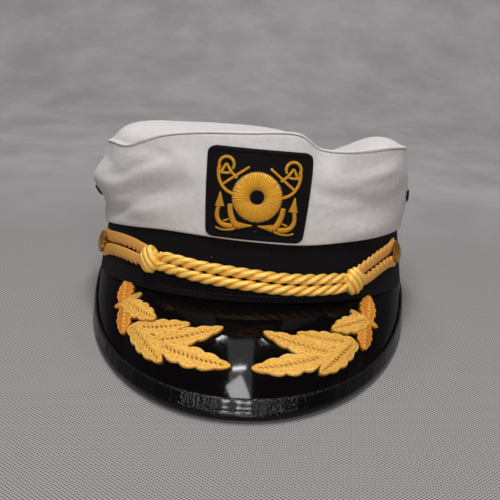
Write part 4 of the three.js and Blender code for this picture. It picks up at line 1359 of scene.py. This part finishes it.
@dataclass
class Badge(Assembly):
    """The black patch and its raised embroidery: a life ring between two fouled anchors."""

    width: float = 53.0
    tall: float = 47.5
    thickness: float = 1.2
    corner: float = 5.0
    ring_centre: Row = (-0.2, -0.95)
    ring_outer: float = 12.7
    ring_hole: float = 3.9
    ring_stitches: int = 62
    border: float = 2.6
    relief: float = 1.3
    tilt: float = -2.2
    spread: float = 0.08
    room: float = 0.55
    eye_centre: Row = (17.4, 14.6)
    eye_radius: float = 3.9

    def point(self, across: float, up: float, lift: float) -> Vector:
        """A point over the badge, which is sewn on a little askew."""
        t = math.radians(self.tilt)
        x = across * math.cos(t) - up * math.sin(t)
        y = across * math.sin(t) + up * math.cos(t)
        return self.form.badge_point(x, y, lift + self.room - self.form.gap)

    def patch_point(self, u: float, v: float, w: float) -> Vector:
        """A point of the padded patch, with rounded corners and an overlocked border."""
        x, y = (2 * u - 1) * self.width / 2, (2 * v - 1) * self.tall / 2
        over_x = abs(x) - (self.width / 2 - self.corner)
        over_y = abs(y) - (self.tall / 2 - self.corner)
        if over_x > 0 and over_y > 0:
            shrink = max(over_x, over_y) / math.hypot(over_x, over_y)
            x = math.copysign(self.width / 2 - self.corner + over_x * shrink, x)
            y = math.copysign(self.tall / 2 - self.corner + over_y * shrink, y)
        inset = min(self.width / 2 - abs(x), self.tall / 2 - abs(y))
        x *= 1 + self.spread * (y / self.tall + 0.5)
        lift = 0.0
        if w > -0.5:
            rib = 0.5 + 0.5 * math.cos(2 * math.pi * (x if over_y > over_x else y) / 1.05)
            lift = self.thickness * math.sqrt(clamp(inset / 0.8 + 0.2))
            lift += (0.35 + 0.15 * rib) * bell((inset - self.border / 2) / (self.border / 2))
            lift -= 0.3 * bell((inset - self.border - 0.5) / 0.7)
        return self.point(x, y, lift)

    def ribbon(self, start: float, end: float, order: int, *route: Row) -> bpy.types.Object:
        """Satin-stitch a domed line along a smooth route.

        Args:
            start: The line's width at its start.
            end: Its width at its end.
            order: How many lines lie below this one.
            *route: Points on the badge, in millimetres from its middle.

        Returns:
            The line.
        """
        length = sum(math.dist(a, b) for a, b in zip(route, route[1:]))
        steps = max(12, int(length / 0.16))
        base = self.thickness + self.form.gap * 0.3 + 0.05 * order

        def shape(u: float, v: float, w: float) -> Vector:
            here = along_curve(route, u)
            before, after = along_curve(route, u - 0.01), along_curve(route, u + 0.01)
            along = Vector((after[0] - before[0], after[1] - before[1])).normalized()
            across = 2 * v - 1
            rib = 0.5 + 0.5 * math.cos(2 * math.pi * u * length / 0.85)
            half = lerp(start, end, u) / 2 * (1 + 0.09 * rib)
            taper = math.sqrt(clamp(min(u, 1 - u) * length / 0.5))
            offset = across * half * max(taper, 0.3)
            lift = base
            if w > -0.5:
                height = self.relief * min(1.0, (half * 2) / 2.2) * taper
                lift += height * math.sqrt(max(0.0, 1 - across**2)) * (0.78 + 0.22 * rib) + 0.05
            return self.point(here[0] - along.y * offset, here[1] + along.x * offset, lift)

        return self.make(Bench.slab("stitched_line", steps, 8), shape)

    def build_ring(self) -> bpy.types.Object:
        """Embroider the life ring with radial stitches that fray at its edges."""

        def shape(u: float, v: float, w: float) -> Vector:
            angle = 2 * math.pi * u
            rib = 0.5 + 0.5 * math.cos(angle * self.ring_stitches)
            fray = 0.75 * rib**2
            radius = lerp(self.ring_hole - fray * 0.6, self.ring_outer + fray, v)
            lift = self.thickness + self.form.gap * 0.3
            if w > -0.5:
                dome = math.sqrt(max(0.0, 1 - (2 * v - 1) ** 2))
                lift += self.relief * 1.25 * dome * (0.9 + 0.1 * rib) + 0.05
            x, y = self.ring_centre
            return self.point(x + radius * math.cos(angle), y + radius * math.sin(angle), lift)

        # The ring's frayed inner and outer edges get a painted highlight.
        return self.make(
            Bench.slab("life_ring", 620, 14), shape, bead=lambda at: clamp(abs(2 * at.y - 1) * 5 - 4) * 0.8
        )

    def anchors(self) -> list[bpy.types.Object]:
        """Embroider the two fouled anchors; the right one mirrors the left one.

        Each line has its width at either end, how many lines lie below it, and its route.
        """
        x, y = self.eye_centre
        turns = (math.radians(k) for k in range(-38, 226, 12))
        eye = [(x + self.eye_radius * math.cos(a), y + self.eye_radius * math.sin(a)) for a in turns]
        lines = [
            (1.7, 1.7, 0, (21.4, 13.2), (21.3, 10.0), (20.5, 6.6), (18.7, 3.4), (16.2, 1.2), (12.6, -0.4)),
            (1.6, 1.6, 0, *eye),
            (1.5, 1.3, 1, (20.4, 9.6), (18.9, 12.3), (17.5, 15.2)),
            (1.3, 1.6, 1, (17.5, 15.2), (14.7, 11.2), (11.2, 8.0)),
            (1.3, 1.3, 1, (19.6, 10.2), (17.4, 10.2), (15.0, 10.5)),
            (1.4, 1.3, 2, (18.6, 4.2), (12.0, 9.3), (5.4, 14.4)),
            (2.6, 3.2, 1, (13.9, -5.4), (13.3, -10.0), (11.4, -14.6), (9.0, -17.0)),
            (2.0, 2.8, 0, (19.5, -6.6), (20.4, -11.2), (19.3, -14.9), (16.4, -16.8), (11.6, -17.0)),
            (5.4, 0.3, 2, (19.2, -7.4), (19.3, -4.0), (19.4, 0.6)),
            (4.2, 0.3, 2, (9.4, -16.5), (5.6, -16.2), (1.3, -15.8)),
            (0.9, 1.4, 0, (20.9, -18.4), (17.5, -19.4), (13.0, -19.0), (9.8, -17.8)),
            (1.1, 0.9, 0, (16.9, -14.8), (15.4, -14.2), (13.8, -13.5)),
        ]
        return [
            self.ribbon(start, end, order, *((x * side.value, y) for x, y in route))
            for side in Side
            for start, end, order, *route in lines
        ]

    def build(self) -> None:
        """Build the patch, its edge stitching and the embroidery."""
        patch = self.make(Bench.slab("badge_felt", 150, 130), self.patch_point, smooth=50)
        self.settle(patch, ClothFinish(), Slot.CLOTH, ["badge_patch"])
        motif = Bench.join([self.build_ring(), *self.anchors()], "badge_motif")
        Bench.mark(motif, "satin", 1.0)
        Bench.smooth(motif, 60)
        finish = GoldThreadFinish(
            name="gold badge embroidery", deep=(212, 130, 14), rich=(252, 200, 58), count=150.0
        )
        self.settle(motif, finish, Slot.THREAD, ["badge_embroidery"])


@dataclass
class Strap(Assembly):
    """The gold rope strap: two stretches of rope, two knots and a flattened loop at each end."""

    diameter: float = 5.9
    lay: float = 21.5
    rope_steps: int = 320
    lower_turn: float = 0.7
    knots: dict[Side, float] = field(default_factory=lambda: {Side.LEFT: -34.5, Side.RIGHT: 37.5})
    knot_length: float = 12.0
    knot_height: float = 14.8
    knot_depth: float = 8.5
    wrap_pitch: float = 3.3
    run_width: float = 6.7
    scallop: float = 4.4
    straight_steps: int = 90
    bend_steps: int = 26

    def lobe(self, turn: float) -> float:
        """The radius of a three-strand rope at a turn, as a share of its half diameter."""
        near = math.radians((math.degrees(turn) + 60) % 120 - 60)
        c, s = math.cos(near), math.sin(near)
        return (0.5 * c + math.sqrt(0.40 - 0.25 * s * s)) / (0.5 + math.sqrt(0.40))

    @staticmethod
    def distances(spots: Sequence[Vector]) -> list[float]:
        """How far along a route each of its points is."""
        travelled = [0.0]
        for a, b in zip(spots, spots[1:]):
            travelled.append(travelled[-1] + (b - a).length)
        return travelled

    def build_rope(self, name: str, side: int) -> bpy.types.Object:
        """Lay one stretch of twisted rope along the band.

        Args:
            name: The rope's name.
            side: 1 for the upper rope and -1 for the lower.

        Returns:
            The rope.
        """
        form = self.form
        inset = math.degrees((self.knot_length / 2 - 1.0) / form.half_width)
        start, end = self.knots[Side.LEFT] + inset, self.knots[Side.RIGHT] - inset
        radius = self.diameter / 2
        phase = self.lower_turn if side < 0 else 0.0
        angles = [lerp(start, end, i / self.rope_steps) for i in range(self.rope_steps + 1)]
        centres = []
        for i, angle in enumerate(angles):
            squeeze = bell((i / self.rope_steps - 0.5) * 2) ** 0.2
            rise = side * (radius + 0.03) * lerp(0.82, 1.0, squeeze)
            centres.append(form.strap_point(angle, rise, radius * 0.95))
        travelled = self.distances(centres)

        def at_step(u: float) -> int:
            return min(int(u * self.rope_steps + 0.5), self.rope_steps)

        def shape(u: float, v: float, w: float) -> Vector:
            i = at_step(u)
            turn = 2 * math.pi * v
            ends = 0.12 * clamp(1 - u * 25) + 0.12 * clamp(u * 25 - 24)
            twist = 2 * math.pi * travelled[i] / self.lay + phase
            reach = radius * self.lobe(turn - twist) * (1 - ends)
            out, up = math.cos(turn) * reach * 0.95, math.sin(turn) * reach
            return centres[i] + form.outwards(angles[i]) * out + Vector((0, 0, up))

        # Painted light: high on a strand's crest for a painted highlight, low in the furrows for painted
        # shade.
        def crest(at: Vector) -> float:
            turn = 2 * math.pi * (at.y - travelled[at_step(at.x)] / self.lay) - phase
            return clamp((self.lobe(turn) - 0.7) / 0.25)

        blank = Bench.sheet(name, self.rope_steps, 54)
        return self.make(blank, shape, smooth=70, close=True, crest=crest)

    def build_knot(self, side: Side) -> bpy.types.Object:
        """Mould slanting turns of cord round the strap."""
        form = self.form
        angle = self.knots[side]
        centre = form.strap_point(angle, 0, self.knot_depth / 2)
        along, out, up = form.along(angle), form.outwards(angle), Vector((0, 0, 1))

        def strand(ahead: float, rise: float) -> float:
            return abs(math.sin(math.pi * (ahead * 0.8 + rise * 0.6) / self.wrap_pitch + 0.5))

        def ball(u: float, v: float) -> tuple[float, float, float]:
            turn, tilt = 2 * math.pi * u, math.pi * (v - 0.5)
            swell = math.cos(tilt) ** 0.75
            return (
                self.knot_length / 2 * math.sin(tilt),
                self.knot_height / 2 * swell * math.sin(turn),
                self.knot_depth / 2 * swell * math.cos(turn),
            )

        def shape(u: float, v: float, w: float) -> Vector:
            ahead, rise, depth = ball(u, v)
            grow = 0.84 + 0.2 * strand(ahead, rise) ** 0.7
            return centre + along * ahead + up * (rise * grow) + out * (depth * grow)

        # The knot's turns get a painted highlight and the gaps between them painted shade.
        return self.make(
            Bench.sheet("knot_" + side.word, 180, 90), shape, smooth=70, close=True,
            crest=lambda at: strand(*ball(at.x, at.y)[:2]) ** 0.8,
        )

    def loop_route(self, side: Side) -> list[tuple[float, float]]:
        """The middle line of a loop, out to the button and back, as angles and rises."""
        knot, button = self.knots[side], self.form.buttons[side]
        start = knot + side.value * math.degrees((self.knot_length / 2 - 1.2) / self.form.half_width)
        half_gap = (self.run_width + self.form.gap) / 2
        bend = self.form.shank + self.form.gap + self.run_width / 2
        run = []
        for i in range(self.straight_steps):
            t = i / self.straight_steps
            near = clamp((t - 0.72) / 0.28) ** 2
            pinch = 0.75 + 0.25 * clamp(t / 0.2)
            run.append((lerp(start, button, t), lerp(half_gap, bend, near) * pinch))
        route = list(run)
        for i in range(self.bend_steps + 1):
            turn = math.pi * i / self.bend_steps
            onward = math.degrees(bend * math.sin(turn) / self.form.half_width)
            route.append((button + side.value * onward, bend * math.cos(turn)))
        return route + [(angle, -rise) for angle, rise in reversed(run)]

    def build_loop(self, side: Side) -> bpy.types.Object:
        """Flatten the rope into two scalloped runs that pass round the button's shank."""
        form = self.form
        route = self.loop_route(side)
        half = form.run_thickness / 2
        spots = [form.strap_point(angle, rise, half) for angle, rise in route]
        travelled = self.distances(spots)
        last = len(spots) - 1

        def shape(u: float, v: float, w: float) -> Vector:
            i = min(int(u * last + 0.5), last)
            out = form.outwards(route[i][0])
            ahead = (spots[min(i + 1, last)] - spots[max(i - 1, 0)]).normalized()
            across = ahead.cross(out).normalized()
            a, o = math.cos(2 * math.pi * v), math.sin(2 * math.pi * v)
            notch = (1 - travelled[i] / self.scallop % 1) ** 1.4
            scalloped = across.z * a * side.value > 0
            edge = 1 - 0.6 * notch * clamp((abs(a) - 0.2) / 0.3) * scalloped
            rib = 0.5 + 0.5 * math.cos(2 * math.pi * (travelled[i] / (self.scallop / 2) + a * 0.7))
            high = half * math.copysign(abs(o) ** 0.75, o) * (0.93 + 0.07 * rib)
            return spots[i] + across * (self.run_width / 2 * a * edge) + out * high

        return self.make(Bench.sheet("loop_" + side.word, 420, 28), shape, smooth=60, close=True, crest=0.3)

    def build(self) -> None:
        """Build the whole strap."""
        rope = RopeFinish()
        wound = RopeFinish(name="gold wound cord", count=30.0, slant=1.0)
        flat = RopeFinish(
            name="gold flat cord", light=(255, 204, 106), dark=(234, 162, 70), roughness=0.5,
            count=170.0, slant=0.06,
        )
        self.settle(self.build_rope("rope_upper", 1), rope, Slot.ROPE, ["strap_rope_upper"])
        self.settle(self.build_rope("rope_lower", -1), rope, Slot.ROPE, ["strap_rope_lower"])
        for side in Side:
            self.settle(self.build_knot(side), wound, Slot.ROPE, ["strap_knot_" + side.word])
            self.settle(self.build_loop(side), flat, Slot.ROPE, ["strap_loop_" + side.word])


@dataclass
class Fittings(Assembly):
    """The domed side buttons and the vent eyelets."""

    button_radius: float = 6.2
    dome: float = 2.8
    knurls: int = 36
    eyelet_radius: float = 3.6
    eyelet_bore: float = 1.7
    eyelet_barrel: float = 2.3
    eyelet_steps: int = 40
    eyelets: dict[Side, Row] = field(
        default_factory=lambda: {Side.LEFT: (-82.5, 0.39), Side.RIGHT: (79.0, 0.42)}
    )

    def turn(self, name: str, profile: Sequence[Row], steps: int) -> bpy.types.Object:
        """Turn a profile of radii and heights about the Z axis."""
        Bench.clear()
        mesh = bpy.data.meshes.new(name)
        mesh.from_pydata([(r, 0.0, z) for r, z in profile], [(i, i + 1) for i in range(len(profile) - 1)], [])
        piece = bpy.data.objects.new(name, mesh)
        bpy.context.collection.objects.link(piece)
        Bench.choose(piece)
        bpy.ops.object.mode_set(mode="EDIT")
        bpy.ops.mesh.select_all(action="SELECT")
        bpy.ops.mesh.spin(steps=steps, angle=2 * math.pi, center=(0, 0, 0), axis=(0, 0, 1))
        bpy.ops.object.mode_set(mode="OBJECT")
        Bench.weld(piece, distance=0.01)
        return piece

    def seat(self, piece: bpy.types.Object, point: Vector, up: Vector, angle: float, smooth: float) -> None:
        """Set a turned fitting on the cap.

        Args:
            piece: The fitting, round about its Z axis.
            point: Where it goes.
            up: The way up the surface there.
            angle: Where that is round the head.
            smooth: The edge angle up to which it is shaded smooth.
        """
        normal = self.form.along(angle).cross(up).normalized()
        turned_out = normal.to_track_quat("Z", "Y").to_matrix().to_4x4()
        piece.data.transform(Matrix.Translation(point) @ turned_out)
        self.carry(piece)
        Bench.smooth(piece, smooth)

    def build_button(self, side: Side) -> bpy.types.Object:
        """Turn a domed button and knurl its rim."""
        form = self.form
        base = form.run_thickness + form.gap
        r, shank, dome = self.button_radius, form.shank, self.dome
        profile = [
            (0.0, 0.0), (shank, 0.0), (shank, base), (r - 0.6, base), (r - 0.1, base + 0.25),
            (r, base + 0.6), (r - 0.05, base + 1.1), (r - 0.5, base + 1.4), (r - 0.9, base + 1.3),
            (r * 0.75, base + dome * 0.66), (r * 0.5, base + dome * 0.87), (r * 0.25, base + dome * 0.97),
            (0.0, base + dome),
        ]
        button = self.turn("side_button_" + side.word, profile, self.knurls * 4)
        for vertex in button.data.vertices:
            if math.hypot(vertex.co.x, vertex.co.y) > r - 0.55:
                turn = math.atan2(vertex.co.y, vertex.co.x)
                notch = 1 - 0.05 * (0.5 + 0.5 * math.cos(turn * self.knurls))
                vertex.co.x *= notch
                vertex.co.y *= notch
        angle = form.buttons[side]
        top = form.place(angle, form.band_out(angle, form.band_height), form.band_height)
        self.seat(button, form.strap_point(angle, 0, 0), top - form.place(angle, 0, 0), angle, 35)
        return button

    def build_eyelet(self, side: Side) -> bpy.types.Object:
        """Turn a rolled eyelet that clamps the crown's wall."""
        form = self.form
        face = form.cloth / 2 + 0.1
        ring, bore, barrel = self.eyelet_radius, self.eyelet_bore, self.eyelet_barrel
        profile = [
            (bore, -face - 0.6), (ring - 0.3, -face - 0.6), (ring, -face - 0.2), (ring - 0.2, -face + 0.1),
            (barrel, -face + 0.1), (barrel, face - 0.1), (ring - 0.2, face - 0.1), (ring, face + 0.3),
            (ring - 0.4, face + 0.8), (ring - 1.1, face + 0.95), (bore + 0.2, face + 0.6), (bore, face),
            (bore, -face - 0.6),
        ]
        eyelet = self.turn("vent_eyelet_" + side.word, profile, self.eyelet_steps)
        angle, level = self.eyelets[side]
        low, high = form.wall_span(angle)
        below, spot, above = (
            form.place(angle, form.wall_out(angle, at), lerp(low, high, at))
            for at in (level - 0.06, level, level + 0.06)
        )
        raised = form.along(angle).cross(above - below).normalized() * 0.25
        self.seat(eyelet, spot + raised, above - below, angle, 40)
        return eyelet

    def build(self) -> None:
        """Build the buttons and the eyelets."""
        dark = MetalFinish(name="blackened metal", tint=(16, 15, 16), roughness=0.35, metallic=0.3)
        for side in Side:
            self.settle(self.build_button(side), MetalFinish(), Slot.METAL, ["button_" + side.word])
            self.settle(self.build_eyelet(side), dark, Slot.EYELET, ["eyelet_" + side.word])


@dataclass(frozen=True)
class Lamp:
    """One soft rectangular light: where it hangs, its width and height in metres and its watts."""

    name: str
    spot: Row
    size: Row
    power: float

    def hang(self, aim: Vector) -> None:
        """Hang the light and point it at a place."""
        data = bpy.data.lights.new(self.name, "AREA")
        data.shape = "RECTANGLE"
        data.size, data.size_y = self.size
        data.energy = self.power
        lamp = bpy.data.objects.new(self.name, data)
        bpy.context.collection.objects.link(lamp)
        lamp.location = self.spot
        lamp.rotation_euler = (aim - Vector(self.spot)).to_track_quat("-Z", "Y").to_euler()


@dataclass
class Studio:
    """The camera at the photograph's angle, a netted grey floor and soft lights."""

    form: CapForm
    elevation: float = 18.3
    azimuth: float = 1.3
    roll: float = 2.85
    distance: float = 0.612
    focal: float = 1043.0
    centre: tuple[float, float] = (251.8, 235.4)
    picture: float = 500.0
    target: tuple[float, float, float] = (0.0, -20.4, 46.0)
    floor_size: tuple[float, float] = (8.0, 4.0)
    wall_at: float = 1.0
    wall_height: float = 0.8
    wall_bend: float = 0.5
    air_strength: float = 0.46
    lamps: Sequence[Lamp] = (
        Lamp("front light", (0.16, -1.4, 0.75), (0.6, 0.5), 9.2),
        Lamp("window light", (-0.02, 0.03, 1.2), (0.15, 0.2), 3.2),
        Lamp("left ceiling light", (-0.16, 0.42, 1.1), (0.11, 0.035), 1.1),
        Lamp("right ceiling light", (0.13, 0.42, 1.1), (0.08, 0.035), 0.8),
        Lamp("middle ceiling light", (-0.03, 0.19, 1.15), (0.1, 0.022), 0.7),
        Lamp("soft ceiling light", (-0.02, 0.22, 1.22), (0.2, 0.42), 0.7),
    )

    def camera(self) -> None:
        """Set up the camera."""
        e, a, roll = (math.radians(k) for k in (self.elevation, self.azimuth, self.roll))
        back = Vector((math.sin(a) * math.cos(e), -math.cos(a) * math.cos(e), math.sin(e)))
        right = (-back).cross(Vector((0, 0, 1))).normalized()
        up = right.cross(-back)
        across = right * math.cos(roll) + up * math.sin(roll)
        over = up * math.cos(roll) - right * math.sin(roll)
        x, y, z = self.target
        aim = self.form.pivot + Vector((x, y - self.form.half_length, z)) * METRES
        data = bpy.data.cameras.new("camera")
        data.sensor_width = 36.0
        data.sensor_fit = "HORIZONTAL"
        data.lens = data.sensor_width * self.focal / self.picture
        data.shift_x = (self.picture / 2 - self.centre[0]) / self.picture
        data.shift_y = (self.centre[1] - self.picture / 2) / self.picture
        camera = bpy.data.objects.new("camera", data)
        bpy.context.collection.objects.link(camera)
        turn = Matrix((across, over, back)).transposed().to_4x4()
        camera.matrix_world = Matrix.Translation(aim + back * self.distance) @ turn
        bpy.context.scene.camera = camera

    def floor(self) -> None:
        """Lay a floor that curves up into a backdrop."""
        Bench.clear()
        bpy.ops.mesh.primitive_plane_add(size=1.0, location=(0, 0, 0))
        floor = bpy.context.object
        floor.name = "studio_floor"
        floor.scale = (*self.floor_size, 1.0)
        floor.location = (0, self.wall_at - self.floor_size[1] / 2, 0)
        bpy.ops.object.transform_apply(location=True, rotation=False, scale=True)
        bpy.ops.object.mode_set(mode="EDIT")
        bpy.ops.mesh.select_mode(type="EDGE")
        bpy.ops.mesh.select_all(action="DESELECT")
        bpy.ops.object.mode_set(mode="OBJECT")
        for edge in floor.data.edges:
            ends = [floor.data.vertices[v].co.y for v in edge.vertices]
            edge.select = all(abs(y - self.wall_at) < 1e-4 for y in ends)
        bpy.ops.object.mode_set(mode="EDIT")
        bpy.ops.mesh.extrude_region_move(TRANSFORM_OT_translate={"value": (0, 0, self.wall_height)})
        bpy.ops.object.mode_set(mode="OBJECT")
        Bench.apply(floor, "BEVEL", width=self.wall_bend, segments=16, limit_method="ANGLE")
        Bench.smooth(floor, 60)
        floor.data.materials.append(FloorFinish().material())

    def air(self) -> None:
        """Fill the room with light that is bright round the horizon and dark overhead."""
        world = bpy.data.worlds.new("studio air")
        world.use_nodes = True
        n = Nodes(world.node_tree)
        way = n.add("ShaderNodeSeparateXYZ", Vector=n.add("ShaderNodeTexCoord").outputs["Generated"])
        tone = n.mix(n.ramp(way.outputs["Z"], 0.15, 0.75), colour(205, 202, 204), colour(40, 39, 42))
        n.fill(world.node_tree.nodes["Background"], Color=tone, Strength=self.air_strength)
        bpy.context.scene.world = world

    def build(self) -> None:
        """Set up everything that isn't the cap."""
        self.camera()
        self.floor()
        Lamp("key light", (-0.08, -0.5, 1.32), (0.36, 0.36), 8.2).hang(Vector((0, 0, 0.03)))
        for lamp in self.lamps:
            lamp.hang(Vector((0, 0, 0.05)))
        self.air()
        bpy.context.scene.view_settings.view_transform = "Standard"


def main() -> None:
    """Build the studio and the cap, piece by piece."""
    logging.basicConfig(level=logging.INFO, format="%(name)s: %(message)s")
    form = CapForm()
    Studio(form).build()
    Crown(form).build()
    Band(form).build()
    Peak(form).build()
    for side in Side:
        OakSpray(form, side=side).build()
    Badge(form).build()
    Strap(form).build()
    Fittings(form).build()
    Bench.clear()


if __name__ == "__main__":
    main()
